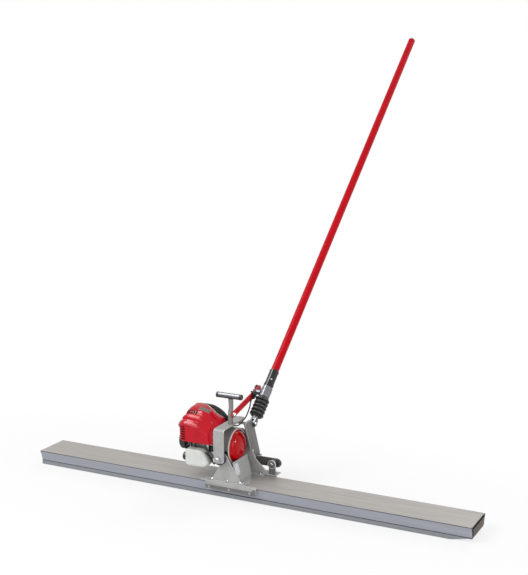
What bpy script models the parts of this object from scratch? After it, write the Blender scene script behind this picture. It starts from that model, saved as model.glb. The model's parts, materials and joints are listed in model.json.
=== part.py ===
"""Vibrating float blade with a small petrol engine and a twist-to-tilt pole.

Metres, +Z up. X runs along the blade, Y points back to the operator, and the
origin is the middle of the blade's sole. One mesh object per subcomponent.
"""

import math

import bmesh
import bpy
from mathutils import Vector

# Driving dimensions of the blade.
BLADE_LENGTH = 2.0
BLADE_WIDTH = 0.167
BLADE_HEIGHT = 0.064
BLADE_WALL = 0.004
BLADE_LEAN = 0.012
LIP_HEIGHT = 0.018
CAP_THICK = 0.004

# Driving dimensions of the base and its exciter.
RAIL_THICK = 0.005
RAIL_DEPTH = 0.030
RAIL_DROP = 0.028
RAIL_BEND = 0.017
RAIL_LEFT = -0.139
RAIL_RIGHT = 0.097
RAIL_TOE = 0.026
BASE_LEFT = -0.128
BASE_RIGHT = 0.051
BASE_SKEW = 0.048
GUARD_DROP = 0.0455
GUARD_LEAN = 0.0215
GUARD_THICK = 0.004
GUARD_BACK = 0.045
SHELF_LEFT = -0.150
SHELF_RIGHT = 0.090
SHELF_DEPTH = 0.045
FOOT_TOE = 0.0025
FRONT_FOOT_LEFT = -0.117
FRONT_FOOT_RIGHT = 0.030
REAR_FOOT_LEFT = -0.094
REAR_FOOT_RIGHT = 0.052
PLATE_THICK = 0.005
SHAFT_RISE = 0.1395
DRUM_RADIUS = 0.0765
DRUM_LENGTH = 0.044
DRUM_RIGHT = -0.039
DRUM_RIM = 0.0065
DOME_BULGE = 0.026
BEARING_RADIUS = 0.0175
BEARING_WIDTH = 0.011
SHAFT_RADIUS = 0.0075

# Driving dimensions of the sprung carrier.
DAMPER_RADIUS = 0.0195
DAMPER_LENGTH = 0.0175
FRONT_DAMPER_RADIUS = 0.0255
DAMPER_DROP = 0.0325
HOOP_WIDTH = 0.047
HOOP_THICK = 0.006
HOOP_RISE = 0.098
HOOP_DROP = 0.0485
HOOP_TAIL = 0.092
HOOP_CORNER = 0.016
HANDLE_RADIUS = 0.0115
HANDLE_LENGTH = 0.121
HANDLE_RISE = 0.116
POST_WIDTH = 0.018
POST_DEPTH = 0.022
CROSSBAR_HEIGHT = 0.037
CROSSBAR_RISE = 0.045
CROSSBAR_LEFT = -0.137
CROSSBAR_RIGHT = 0.095

# Driving dimensions of the engine.
SHROUD_LENGTH = 0.1783
SHROUD_FOOT = 0.0165
SHROUD_PARTING = 0.012
SHROUD_WALL = 0.003
SHROUD_BACK = 0.095
FLYWHEEL_RADIUS = 0.045
CASE_HALF = 0.034
FIN_REACH = 0.042
CLUTCH_RADIUS = 0.036
STARTER_RADIUS = 0.045
TANK_HEIGHT = 0.079

# Driving dimensions of the pole and its tilting screw.
POLE_RADIUS = 0.0175
POLE_WALL = 0.0015
POLE_LENGTH = 2.2345
PLUG_HEIGHT = 0.006
SLEEVE_LENGTH = 0.086
SLEEVE_FLOOR = 0.018
POLE_ELEVATION = math.radians(40.76)
PIVOT_BACK = 0.073
PIVOT_RISE = 0.220
SPINDLE_RADIUS = 0.008
BELLOWS_RADIUS = 0.0305
BELLOWS_RIBS = 5
ARM_WIDTH = 0.026
ARM_THICK = 0.008
ARM_OVERHANG = 0.034
GRIP_BACK = 0.029
GRIP_HALF = 0.014
LEVER_LIFT = 0.008

# Clearances.
GAP = 0.0003
RUN = 0.0008
PIN_PLAY = 0.0003
LINK_PLAY = 0.0016

# Places that follow from the driving dimensions.
HALF = BLADE_WIDTH / 2
SOLE_HALF = HALF - BLADE_LEAN
RAIL_FOOT = BLADE_HEIGHT + GAP
RAIL_TOP = RAIL_FOOT + RAIL_THICK
AXIS_Z = BLADE_HEIGHT + SHAFT_RISE
DRUM_LEFT = DRUM_RIGHT - DRUM_LENGTH
GUSSET_INNER = DRUM_RADIUS + GAP
GUSSET_OUTER = GUSSET_INNER + PLATE_THICK
HOOP_INNER = GUSSET_OUTER + DAMPER_LENGTH + 2 * GAP
HOOP_OUTER = HOOP_INNER + HOOP_THICK
HOOP_LEFT = DRUM_LEFT - 0.005
HOOP_RIGHT = HOOP_LEFT + HOOP_WIDTH
HOOP_MID = (HOOP_LEFT + HOOP_RIGHT) / 2
DAMPER_X = HOOP_MID - 0.003
HOOP_TOP = AXIS_Z + HOOP_RISE
MOUNT_RIGHT = HOOP_LEFT - GAP
MOUNT_LEFT = MOUNT_RIGHT - PLATE_THICK
FAN_RIGHT = MOUNT_LEFT - GAP
FAN_LEFT = FAN_RIGHT - 0.017
CASE_RIGHT = FAN_LEFT - GAP
SHROUD_LEFT = FAN_RIGHT - SHROUD_LENGTH
POLE_DIR = Vector((0, math.cos(POLE_ELEVATION), math.sin(POLE_ELEVATION)))
POLE_UP = Vector((0, -math.sin(POLE_ELEVATION), math.cos(POLE_ELEVATION)))
PIVOT_C = Vector((0, PIVOT_BACK, BLADE_HEIGHT + PIVOT_RISE))
COLLAR_RADIUS = POLE_RADIUS + 0.0055
SLEEVE_RADIUS = POLE_RADIUS + 0.0025
FORK_NECK = SPINDLE_RADIUS + 0.006
BELLOWS_FOOT = 0.034
BELLOWS_HEAD = 0.130
COLLAR_FOOT = BELLOWS_HEAD - 0.013
COLLAR_HEAD = 0.182
POLE_FOOT = COLLAR_HEAD + RUN + SLEEVE_FLOOR + GAP
POLE_HEAD = POLE_FOOT + POLE_LENGTH
PIVOT_B = PIVOT_C + POLE_DIR * 0.150 + POLE_UP * 0.008
ARM_RIGHT = -(COLLAR_RADIUS + 0.0157)
ARM_LEFT = ARM_RIGHT - ARM_THICK
PIVOT_A = Vector((0, -0.0156, HOOP_TOP + 0.0411))
ARM_DIR = (PIVOT_B - PIVOT_A).normalized()
ARM_UP = Vector((0, -ARM_DIR.z, ARM_DIR.y))
ARM_LENGTH = (PIVOT_B - PIVOT_A).length
GRIP = ARM_LENGTH - GRIP_BACK
PIN_RADIUS = 0.006
BOLT_RADIUS = 0.005

X_AXIS = Vector((1, 0, 0))
Y_AXIS = Vector((0, 1, 0))
Z_AXIS = Vector((0, 0, 1))

# Base colour, metallic and roughness of each finish.
FINISHES = {
    "aluminium": ((0.62, 0.61, 0.58), 1.0, 0.4),
    "grey_paint": ((0.26, 0.26, 0.25), 0.0, 0.45),
    "zinc": ((0.75, 0.76, 0.76), 1.0, 0.3),
    "chrome": ((0.85, 0.85, 0.86), 1.0, 0.12),
    "steel": ((0.5, 0.5, 0.5), 1.0, 0.35),
    "cast": ((0.56, 0.56, 0.54), 1.0, 0.55),
    "red_gloss": ((0.58, 0.012, 0.03), 0.0, 0.25),
    "red_pole": ((0.80, 0.006, 0.02), 0.0, 0.3),
    "black_plastic": ((0.02, 0.02, 0.02), 0.0, 0.5),
    "black_rubber": ((0.025, 0.025, 0.027), 0.0, 0.8),
    "black_paint": ((0.02, 0.02, 0.02), 0.1, 0.4),
    "dark_plastic": ((0.05, 0.05, 0.055), 0.0, 0.5),
    "tank_white": ((0.78, 0.78, 0.72), 0.0, 0.35),
}


def clear_scene():
    """Removes every object of the start-up scene."""
    for item in list(bpy.data.objects):
        bpy.data.objects.remove(item, do_unlink=True)


def finish(obj, name):
    """Gives an object its own Principled material with the named finish."""
    colour, metallic, roughness = FINISHES[name]
    material = bpy.data.materials.new(obj.name + "_" + name)
    material.use_nodes = True
    shader = material.node_tree.nodes["Principled BSDF"]
    shader.inputs["Base Color"].default_value = (*colour, 1.0)
    shader.inputs["Metallic"].default_value = metallic
    shader.inputs["Roughness"].default_value = roughness
    obj.data.materials.clear()
    obj.data.materials.append(material)
    return obj


def body(name, vertices, faces, smooth=False):
    """Makes one mesh object with its faces turned outwards."""

    mesh = bpy.data.meshes.new(name)
    mesh.from_pydata([tuple(v) for v in vertices], [], faces)
    work = bmesh.new()
    work.from_mesh(mesh)
    bmesh.ops.recalc_face_normals(work, faces=work.faces)
    work.to_mesh(mesh)
    work.free()
    for polygon in mesh.polygons:
        polygon.use_smooth = smooth
    obj = bpy.data.objects.new(name, mesh)
    bpy.context.scene.collection.objects.link(obj)
    return obj


def loft(name, loops, smooth=False):
    """Skins closed loops of one point count and caps both ends."""
    count = len(loops[0])
    vertices = [point for loop in loops for point in loop]
    faces = []
    for ring in range(len(loops) - 1):
        low = ring * count
        for i in range(count):
            j = (i + 1) % count
            faces.append((low + i, low + j, low + count + j, low + count + i))
    faces.append(tuple(range(count)))
    faces.append(tuple(range(len(vertices) - count, len(vertices))))
    return body(name, vertices, faces, smooth)


def prism_x(name, outline, left, right):
    """Extrudes an outline of (y, z) points along X."""
    return loft(name, [[(x, y, z) for y, z in outline] for x in (left, right)])


def prism_y(name, outline, front, back):
    """Extrudes an outline of (x, z) points along Y."""
    return loft(name, [[(x, y, z) for x, z in outline] for y in (front, back)])


def prism_z(name, outline, low, high):
    """Extrudes an outline of (x, y) points along Z."""
    return loft(name, [[(x, y, z) for x, y in outline] for z in (low, high)])


def box(name, x, y, z):
    """Makes a block from its three ranges."""
    return prism_x(name, [(y[0], z[0]), (y[1], z[0]), (y[1], z[1]), (y[0], z[1])], *x)


def side_axes(axis):
    """Returns two unit vectors square to an axis."""
    helper = X_AXIS if abs(axis.x) < 0.9 else Y_AXIS
    first = axis.cross(helper).normalized()
    return first, axis.cross(first).normalized()


def turned(name, profile, origin, axis, segments=24, smooth=True):
    """Turns a closed profile of (radius, distance) points round an axis.

    A point of radius zero becomes one vertex on the axis.
    """
    first, second = side_axes(axis)
    vertices = []
    rings = []
    for radius, along in profile:
        middle = origin + axis * along
        if radius <= 0:
            rings.append([len(vertices)])
            vertices.append(middle)
            continue
        ring = []
        for i in range(segments):
            angle = 2 * math.pi * i / segments
            ring.append(len(vertices))
            reach = first * math.cos(angle) + second * math.sin(angle)
            vertices.append(middle + reach * radius)
        rings.append(ring)
    faces = []
    for index, ring in enumerate(rings):
        after = rings[(index + 1) % len(rings)]
        if len(ring) == 1 and len(after) == 1:
            continue
        for i in range(segments):
            j = (i + 1) % segments
            if len(ring) == 1:
                faces.append((ring[0], after[j], after[i]))
            elif len(after) == 1:
                faces.append((ring[i], ring[j], after[0]))
            else:
                faces.append((ring[i], ring[j], after[j], after[i]))
    return body(name, vertices, faces, smooth)


def rod(name, start, end, radius, segments=24):
    """Makes a plain round bar between two points."""
    axis = (end - start).normalized()
    reach = (end - start).length
    return turned(name, [(0, 0), (radius, 0), (radius, reach), (0, reach)], start, axis, segments)


def ring(name, inner, outer, start, end, segments=24):
    """Makes a plain tube between two points."""
    axis = (end - start).normalized()
    reach = (end - start).length
    profile = [(inner, 0), (outer, 0), (outer, reach), (inner, reach)]
    return turned(name, profile, start, axis, segments)


def hex_bolt(name, head, axis, radius, shank, head_radius, head_height):
    """Makes a hexagon bolt whose head sits at a point and whose shank runs along the axis."""
    first, second = side_axes(axis)
    loops = []
    for reach, along, count in (
        (head_radius, -head_height, 6),
        (head_radius, 0, 6),
        (radius, 0, 6),
        (radius, shank, 6),
    ):
        loop = []
        for i in range(count):
            angle = 2 * math.pi * i / count
            side = first * math.cos(angle) + second * math.sin(angle)
            loop.append(head + axis * along + side * reach)
        loops.append(loop)
    return loft(name, loops)


def strap(name, stations, thick):
    """Bends a flat strap through stations of (y, z, left, right)."""
    loops = []
    last = len(stations) - 1
    for index, (y, z, left, right) in enumerate(stations):
        before = stations[max(index - 1, 0)]
        after = stations[min(index + 1, last)]
        into = Vector((0, y - before[0], z - before[1]))
        out = Vector((0, after[0] - y, after[1] - z))
        into = into.normalized() if into.length > 0 else out.normalized()
        out = out.normalized() if out.length > 0 else into
        middle = (into + out).normalized()
        normal = Vector((0, -middle.z, middle.y))
        widen = 1 / max(middle.dot(into), 0.3)
        offset = normal * (thick / 2 * widen)
        loops.append(
            [
                Vector((left, y, z)) - offset,
                Vector((right, y, z)) - offset,
                Vector((right, y, z)) + offset,
                Vector((left, y, z)) + offset,
            ]
        )
    return loft(name, loops)


def sweep(name, points, radius, segments=8):
    """Sweeps a round section along a smooth path."""
    loops = []
    side = X_AXIS
    for index, point in enumerate(points):
        before = points[max(index - 1, 0)]
        after = points[min(index + 1, len(points) - 1)]
        axis = (after - before).normalized()
        side = (side - axis * side.dot(axis)).normalized()
        other = axis.cross(side)
        loop = []
        for i in range(segments):
            angle = 2 * math.pi * i / segments
            loop.append(point + (side * math.cos(angle) + other * math.sin(angle)) * radius)
        loops.append(loop)
    return loft(name, loops, smooth=True)


def combine(obj, cutters, operation):
    """Cuts or adds solids with exact Booleans and removes the solids used."""
    for cutter in cutters:
        cutter.hide_render = True
        cutter.display_type = "WIRE"
        change = obj.modifiers.new("combine", "BOOLEAN")
        change.operation = operation
        change.solver = "EXACT"
        change.object = cutter
    bpy.context.view_layer.update()
    graph = bpy.context.evaluated_depsgraph_get()
    mesh = bpy.data.meshes.new_from_object(obj.evaluated_get(graph))
    obj.modifiers.clear()
    obj.data = mesh
    mesh.name = obj.name
    for cutter in cutters:
        bpy.data.objects.remove(cutter, do_unlink=True)
    return obj


def cut(obj, *cutters):
    """Takes the cutters away from an object."""
    return combine(obj, cutters, "DIFFERENCE")


def fuse(obj, *others):
    """Adds overlapping solids to an object."""
    return combine(obj, others, "UNION")


def drill(obj, places, axis, radius, reach, segments=16):
    """Drills round holes, each centred on a place and twice the reach long."""
    cutters = []
    for place in places:
        place = Vector(place)
        cutters.append(rod("cutter", place - axis * reach, place + axis * reach, radius, segments))
    return cut(obj, *cutters)


def rounded_end(centre, radius, start_deg, end_deg, steps):
    """Returns points on an arc round a centre in a plane."""
    points = []
    for i in range(steps + 1):
        angle = math.radians(start_deg + (end_deg - start_deg) * i / steps)
        points.append((centre[0] + radius * math.cos(angle), centre[1] + radius * math.sin(angle)))
    return points


def on_pole(along):
    """Returns the point on the pole's axis at a distance from the rod end's pin."""
    return PIVOT_C + POLE_DIR * along


def blade_loops():
    """Returns the outer and inner outlines of the blade's section, point for point."""
    middle = LIP_HEIGHT + 0.5 * (BLADE_HEIGHT - LIP_HEIGHT)
    outer = [
        (SOLE_HALF, 0),
        (SOLE_HALF + 0.0015, 0.0015),
        (SOLE_HALF + 0.0015, LIP_HEIGHT - 0.001),
        (SOLE_HALF - 0.002, LIP_HEIGHT + 0.002),
        (SOLE_HALF + 0.3 * BLADE_LEAN, middle),
        (HALF, BLADE_HEIGHT - 0.004),
        (HALF - 0.003, BLADE_HEIGHT),
    ]
    inner = [
        (SOLE_HALF - 0.010, BLADE_WALL),
        (SOLE_HALF - 0.007, BLADE_WALL + 0.001),
        (SOLE_HALF - 0.002 - BLADE_WALL, LIP_HEIGHT - 0.002),
        (SOLE_HALF - 0.002 - BLADE_WALL, LIP_HEIGHT + 0.003),
        (SOLE_HALF + 0.3 * BLADE_LEAN - BLADE_WALL, middle),
        (HALF - BLADE_WALL - 0.0005, BLADE_HEIGHT - BLADE_WALL - 0.003),
        (HALF - BLADE_WALL - 0.0035, BLADE_HEIGHT - BLADE_WALL),
    ]
    loops = []
    for side in (outer, inner):
        loops.append(side + [(-y, z) for y, z in reversed(side)])
    return loops


def build_blade():
    """Makes the hollow aluminium blade and its two end caps."""
    outer, inner = blade_loops()
    end = BLADE_LENGTH / 2 - CAP_THICK - GAP
    count = len(outer)
    vertices = []
    for x in (-end, end):
        vertices += [(x, y, z) for y, z in outer]
        vertices += [(x, y, z) for y, z in inner]
    faces = []
    for i in range(count):
        j = (i + 1) % count
        faces.append((i, j, count + j, count + i))
        faces.append((2 * count + i, 2 * count + j, 3 * count + j, 3 * count + i))
        faces.append((i, j, 2 * count + j, 2 * count + i))
        faces.append((count + i, count + j, 3 * count + j, 3 * count + i))
    finish(body("blade_profile", vertices, faces), "aluminium")
    middle = sum(z for _, z in inner) / count
    plug = [(y * 0.985, middle + (z - middle) * 0.97) for y, z in inner]
    for name, sign in (("blade_end_cap_left", -1), ("blade_end_cap_right", 1)):
        loops = []
        for outline, x in (
            (outer, BLADE_LENGTH / 2),
            (outer, end + GAP),
            (plug, end + GAP),
            (plug, end - 0.014),
        ):
            loops.append([(sign * x, y, z) for y, z in outline])
        finish(loft(name, loops), "dark_plastic")


def rail(name, side, left, right):
    """Makes one angle rail that hooks over an edge of the blade's top."""
    face = HALF + RUN
    outline = [
        (side * (HALF - RAIL_DEPTH), RAIL_FOOT),
        (side * face, RAIL_FOOT),
        (side * face, BLADE_HEIGHT - RAIL_DROP),
        (side * (face + RAIL_THICK), BLADE_HEIGHT - RAIL_DROP),
        (side * (face + RAIL_THICK), RAIL_TOP - RAIL_BEND),
        (side * (face + RAIL_THICK * 0.74), RAIL_TOP - RAIL_BEND * 0.41),
        (side * face, RAIL_TOP),
        (side * (HALF - RAIL_DEPTH), RAIL_TOP),
    ]
    return finish(prism_x(name, outline, left, right), "grey_paint")


def clamp_block(side, right):
    """Makes the solid block that stiffens the end of a rail."""
    near = side * (HALF + RUN + 0.002)
    far = side * (HALF + RUN + RAIL_THICK + 0.004)
    low = BLADE_HEIGHT - RAIL_DROP - 0.001
    return box("block", (right - 0.016, right), (min(near, far), max(near, far)), (low, RAIL_TOP - 0.004))


def build_base():
    """Makes the rails, base plate, gussets and side plates that carry the exciter."""
    front = rail("front_rail", -1, RAIL_LEFT, RAIL_RIGHT)
    toe = (RAIL_LEFT - RAIL_TOE, RAIL_LEFT + 0.002)
    flange = (GAP - HALF, RAIL_DEPTH - HALF - GAP)
    level = (RAIL_FOOT + GAP, RAIL_TOP - GAP)
    fuse(front, clamp_block(-1, RAIL_RIGHT - 0.0005))
    fuse(front, box("toe", toe, flange, level))
    finish(front, "grey_paint")
    rear = rail("rear_rail", 1, SHELF_LEFT, REAR_FOOT_RIGHT)
    face = HALF + RUN
    low = BLADE_HEIGHT - RAIL_DROP + GAP
    shelf = (SHELF_LEFT + GAP, SHELF_RIGHT)
    leg = (REAR_FOOT_RIGHT - 0.002, SHELF_RIGHT)
    fuse(rear, box("leg", leg, (face + GAP, face + RAIL_THICK - GAP), (low, RAIL_TOP - 0.001)))
    fuse(rear, box("shelf", shelf, (face - 0.002, face + SHELF_DEPTH), level))
    finish(rear, "grey_paint")
    edge = HALF - RAIL_DEPTH - GAP
    outline = [(BASE_LEFT, -edge), (BASE_RIGHT, -edge), (BASE_RIGHT - BASE_SKEW, edge), (BASE_LEFT, edge)]
    base = prism_z("base_plate", outline, RAIL_FOOT, RAIL_FOOT + PLATE_THICK - 0.001)

    plane = (GUSSET_INNER + GUSSET_OUTER) / 2
    # The front gusset narrows to a waist below the round boss of its damper.
    boss = (DAMPER_X, AXIS_Z - DAMPER_DROP)
    outline = [
        (FRONT_FOOT_RIGHT, RAIL_TOP + GAP),
        (DAMPER_X + 0.044, AXIS_Z - 0.051),
        (DAMPER_X + 0.023, boss[1] + 0.018),
    ]
    outline += rounded_end(boss, FRONT_DAMPER_RADIUS - 0.004, 75, 235, 8)
    outline += [(DAMPER_X - 0.007, boss[1] - 0.032), (FRONT_FOOT_LEFT, RAIL_TOP + GAP)]
    front_gusset = prism_y("front_gusset", outline, -GUSSET_OUTER, -GUSSET_INNER)
    rear_gusset = strap(
        "rear_gusset",
        [
            (plane, RAIL_TOP + GAP, REAR_FOOT_LEFT, REAR_FOOT_RIGHT + 0.004),
            (plane, RAIL_TOP + 0.018, REAR_FOOT_LEFT, REAR_FOOT_RIGHT + 0.004),
            (plane, RAIL_TOP + 0.059, DRUM_LEFT - 0.009, DRUM_RIGHT + 0.051),
            (plane, AXIS_Z - 0.038, DRUM_LEFT - 0.007, DRUM_RIGHT + 0.0325),
            (plane, AXIS_Z + 0.0095, DRUM_LEFT - 0.005, DRUM_RIGHT + 0.0245),
            (plane, AXIS_Z + 0.0415, DRUM_LEFT - 0.001, DRUM_RIGHT + 0.009),
            (plane, AXIS_Z + 0.052, DRUM_LEFT + 0.006, DRUM_RIGHT - 0.011),
        ],
        PLATE_THICK,
    )

    # Two side plates close the box under the drum, cut to the drum's curve.
    low = RAIL_FOOT + PLATE_THICK - 0.002
    reach = edge - GAP
    arc = rounded_end((0, AXIS_Z), DRUM_RADIUS + GAP, 318, 222, 10)
    outline = [(-reach, low), (reach, low)] + arc
    for left in (DRUM_LEFT, DRUM_RIGHT - PLATE_THICK):
        fuse(base, prism_x("side_plate", outline, left, left + PLATE_THICK))
    # A guard leans outwards from the lower part of the dome to the base plate's right side.
    top = DRUM_RIGHT + 0.83 * DOME_BULGE
    bottom = top + GUARD_LEAN
    step = RAIL_TOP + PLATE_THICK
    outline = [
        (bottom, step),
        (bottom + GUARD_THICK, step),
        (top + GUARD_THICK, AXIS_Z - GUARD_DROP),
        (top, AXIS_Z - GUARD_DROP),
    ]
    guard = prism_y("guard", outline, GAP - GUSSET_INNER, GUARD_BACK)
    reach = edge - 2 * GAP
    width = (bottom + GAP, bottom + GUARD_THICK - GAP)
    fuse(guard, box("guard_foot", width, (-reach, GUARD_BACK - GAP), (low, step + 0.003)))
    fuse(base, guard)
    finish(base, "grey_paint")

    # Each gusset has a foot that lies on its rail; the front one also reaches forward.
    for gusset, side, left, right, toe in (
        (front_gusset, -1, FRONT_FOOT_LEFT, FRONT_FOOT_RIGHT, GUSSET_OUTER + FOOT_TOE),
        (rear_gusset, 1, REAR_FOOT_LEFT, REAR_FOOT_RIGHT, GUSSET_INNER + 0.002),
    ):
        heel = GUSSET_INNER - 0.018
        foot = box(
            "foot",
            (left, right),
            (min(side * heel, side * toe), max(side * heel, side * toe)),
            (RAIL_TOP + GAP, RAIL_TOP + GAP + PLATE_THICK - 0.001),
        )
        fuse(gusset, foot)
        finish(gusset, "grey_paint")


def build_exciter():
    """Makes the drum, its bearings, the shaft with its weight, and the dome cover."""
    origin = Vector((DRUM_LEFT, 0, AXIS_Z))
    seat = BEARING_RADIUS + GAP
    cavity = DRUM_RADIUS - 0.010
    lip = DRUM_RADIUS - DRUM_RIM
    depth = DRUM_LENGTH
    profile = [
        (seat, 0),
        (DRUM_RADIUS, 0),
        (DRUM_RADIUS, depth + 0.0038),
        (lip, depth + 0.0038),
        (lip, depth),
        (cavity, depth),
        (cavity, 0.008),
        (seat, 0.008),
    ]
    finish(turned("exciter_housing", profile, origin, X_AXIS, 36), "grey_paint")
    plate = Vector((DRUM_RIGHT - BEARING_WIDTH - 0.001, 0, AXIS_Z))
    finish(ring("bearing_plate", seat, cavity - GAP, plate, plate + X_AXIS * 0.010, 32), "cast")
    inner = SHAFT_RADIUS + GAP
    for name, start in (("exciter_bearing_left", origin), ("exciter_bearing_right", plate)):
        bearing = ring(name, inner, BEARING_RADIUS, start, start + X_AXIS * BEARING_WIDTH, 20)
        finish(bearing, "steel")
    left = Vector((DRUM_LEFT - 0.0045, 0, AXIS_Z))
    right = Vector((DRUM_RIGHT - 0.0005, 0, AXIS_Z))
    finish(rod("exciter_shaft", left, right, SHAFT_RADIUS, 20), "steel")
    weight_left = DRUM_LEFT + BEARING_WIDTH + 0.005
    weight_right = plate.x - 0.005
    hub = SHAFT_RADIUS + GAP
    outline = rounded_end((0, AXIS_Z), cavity - 0.011, 190, 350, 14)
    outline += rounded_end((0, AXIS_Z), SHAFT_RADIUS + 0.008, 20, 160, 6)
    weight = prism_x("eccentric_weight", outline, weight_left, weight_right)
    drill(weight, [(weight_left, 0, AXIS_Z)], X_AXIS, hub, 0.1, 20)
    finish(weight, "steel")

    # The dome is a spun shell, open on the side that faces the bearing plate.
    base = Vector((DRUM_RIGHT + GAP, 0, AXIS_Z))
    rim = lip - GAP
    skin = 0.0022
    outside = [(rim, 0), (rim, 0.003)]
    inside = [(rim - 0.009, 0)]
    steps = 7
    for i in range(steps + 1):
        angle = math.radians(90 * i / steps)
        outside.append(((rim - 0.007) * math.cos(angle), 0.003 + DOME_BULGE * math.sin(angle)))
        inside.append(((rim - 0.007 - skin) * math.cos(angle), 0.003 + (DOME_BULGE - skin) * math.sin(angle)))
    outside[-1] = (0, outside[-1][1])
    inside[-1] = (0, inside[-1][1])
    dome = turned("dome_cover", outside + list(reversed(inside)), base, X_AXIS, 32)
    finish(dome, "red_gloss")

    # The clutch drum is a cup on the shaft's left end, open towards the engine.
    start = Vector((DRUM_LEFT - 0.0015, 0, AXIS_Z))
    wall = 0.0035
    outer = CLUTCH_RADIUS + RUN + wall
    profile = [
        (SHAFT_RADIUS + GAP, 0),
        (outer, 0),
        (outer, 0.0185),
        (outer - wall, 0.0185),
        (outer - wall, 0.003),
        (SHAFT_RADIUS + GAP, 0.003),
    ]
    finish(turned("clutch_drum", profile, start, -X_AXIS, 32), "steel")


def build_carrier():
    """Makes the sprung hoop, pole bracket, crossbar, dampers and carrying handle."""
    plane = (HOOP_INNER + HOOP_OUTER) / 2
    top = HOOP_TOP - HOOP_THICK / 2
    sides = (HOOP_LEFT, HOOP_RIGHT)
    corners = []
    for turn in (0, 22.5, 45, 67.5, 90):
        inset = HOOP_CORNER * (1 - math.sin(math.radians(turn)))
        rise = HOOP_CORNER * (1 - math.cos(math.radians(turn)))
        corners.append((rise, (HOOP_LEFT + inset, HOOP_RIGHT - inset)))
    hoop = strap(
        "hoop_frame",
        [
            *[(-plane, AXIS_Z - HOOP_DROP + rise, *ends) for rise, ends in corners],
            (-plane, top - 0.012, *sides),
            (-plane + 0.004, top - 0.004, *sides),
            (-plane + 0.012, top, *sides),
            *[(HOOP_TAIL - rise, top, *ends) for rise, ends in reversed(corners)],
        ],
        HOOP_THICK,
    )
    front_z = AXIS_Z - DAMPER_DROP
    front_x = DAMPER_X
    front = Vector((front_x, -plane, front_z))
    bore = BOLT_RADIUS + PIN_PLAY
    drill(hoop, [front], Y_AXIS, bore, 0.02)
    gusset = bpy.data.objects["front_gusset"]
    drill(gusset, [front], Y_AXIS, bore, 0.04)
    finish(gusset, "grey_paint")
    start = Vector((front_x, -HOOP_INNER + GAP, front_z))
    damper = ring("front_damper", bore, FRONT_DAMPER_RADIUS, start, start + Y_AXIS * DAMPER_LENGTH)
    finish(damper, "black_rubber")

    # The black crossbar hangs on two dampers behind the lugs of the rear rail.
    bar_z = RAIL_TOP + CROSSBAR_RISE
    lug_front = HALF + RUN
    lug_back = lug_front + RAIL_THICK
    bar_front = lug_back + DAMPER_LENGTH
    bar_back = bar_front + 0.008
    spots = (CROSSBAR_LEFT + 0.012, CROSSBAR_RIGHT - 0.012)
    back = bpy.data.objects["rear_rail"]
    for side, x in zip(("left", "right"), spots):
        outline = [(x - DAMPER_RADIUS, RAIL_TOP - 0.002), (x + DAMPER_RADIUS, RAIL_TOP - 0.002)]
        outline += rounded_end((x, bar_z), DAMPER_RADIUS, 0, 180, 8)
        lug = prism_y("lug", outline, lug_front, lug_back)
        fuse(back, drill(lug, [(x, lug_front, bar_z)], Y_AXIS, bore, 0.02))
        low = Vector((x, lug_back + GAP, bar_z))
        high = Vector((x, bar_front - GAP, bar_z))
        finish(ring("rear_damper_" + side, bore, DAMPER_RADIUS, low, high), "black_rubber")
        head = Vector((x, lug_front - GAP, bar_z))
        grip = bar_back - lug_front + 0.004
        bolt = hex_bolt("rear_damper_bolt_" + side, head, Y_AXIS, BOLT_RADIUS, grip, 0.0095, 0.0065)
        finish(bolt, "zinc")
    finish(back, "grey_paint")
    end = CROSSBAR_HEIGHT / 2
    outline = rounded_end((CROSSBAR_RIGHT, bar_z), end, -90, 90, 8)
    outline += rounded_end((CROSSBAR_LEFT, bar_z), end, 90, 270, 8)
    bar = prism_y("rear_crossbar", outline, bar_front, bar_back)
    drill(bar, [(x, bar_front, bar_z) for x in spots], Y_AXIS, bore, 0.03)
    finish(bar, "black_paint")
    head = Vector((front_x, -HOOP_OUTER - GAP, front_z))
    finish(hex_bolt("front_damper_bolt", head, Y_AXIS, BOLT_RADIUS, 0.031, 0.0105, 0.007), "zinc")

    # The pole bracket is one plate that stands on the crossbar and leans forward to the rod end.
    plate = 0.004
    foot_z = bar_z + end + GAP
    eye = rounded_end((PIVOT_C.y, PIVOT_C.z), 0.0135, -50, 130, 8)
    outline = [
        (bar_front - 0.023, foot_z),
        (bar_back + 0.012, foot_z),
        (bar_back + 0.014, foot_z + 0.012),
        (bar_back + 0.004, foot_z + 0.040),
        (PIVOT_C.y + 0.016, PIVOT_C.z - 0.034),
    ]
    outline += eye
    outline += [
        (PIVOT_C.y - 0.026, PIVOT_C.z + 0.024),
        (PIVOT_C.y - 0.074, PIVOT_C.z + 0.020),
        (PIVOT_C.y - 0.024, AXIS_Z - 0.029),
        (bar_front - 0.023, AXIS_Z - 0.034),
    ]
    bracket = prism_x("pole_bracket", outline, -plate, plate)
    drill(bracket, [PIVOT_C], X_AXIS, PIN_RADIUS + PIN_PLAY, 0.02)
    finish(bracket, "grey_paint")
    # A tie bar under the hoop's tail joins it to the bracket.
    tie_top = HOOP_TOP - HOOP_THICK + 0.002
    tie = box("tie", (HOOP_LEFT + 0.004, -plate - GAP), (0.036, 0.050), (tie_top - 0.010, tie_top))
    fuse(hoop, tie)
    finish(hoop, "grey_paint")
    pin = Vector((-0.0145, PIVOT_C.y, PIVOT_C.z))
    profile = [
        (0, -0.004),
        (0.0085, -0.004),
        (0.0085, 0),
        (PIN_RADIUS, 0),
        (PIN_RADIUS, 0.0285),
        (0.0085, 0.0285),
        (0.0085, 0.033),
        (0, 0.033),
    ]
    finish(turned("clevis_pin", profile, pin, X_AXIS, 16), "zinc")

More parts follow.
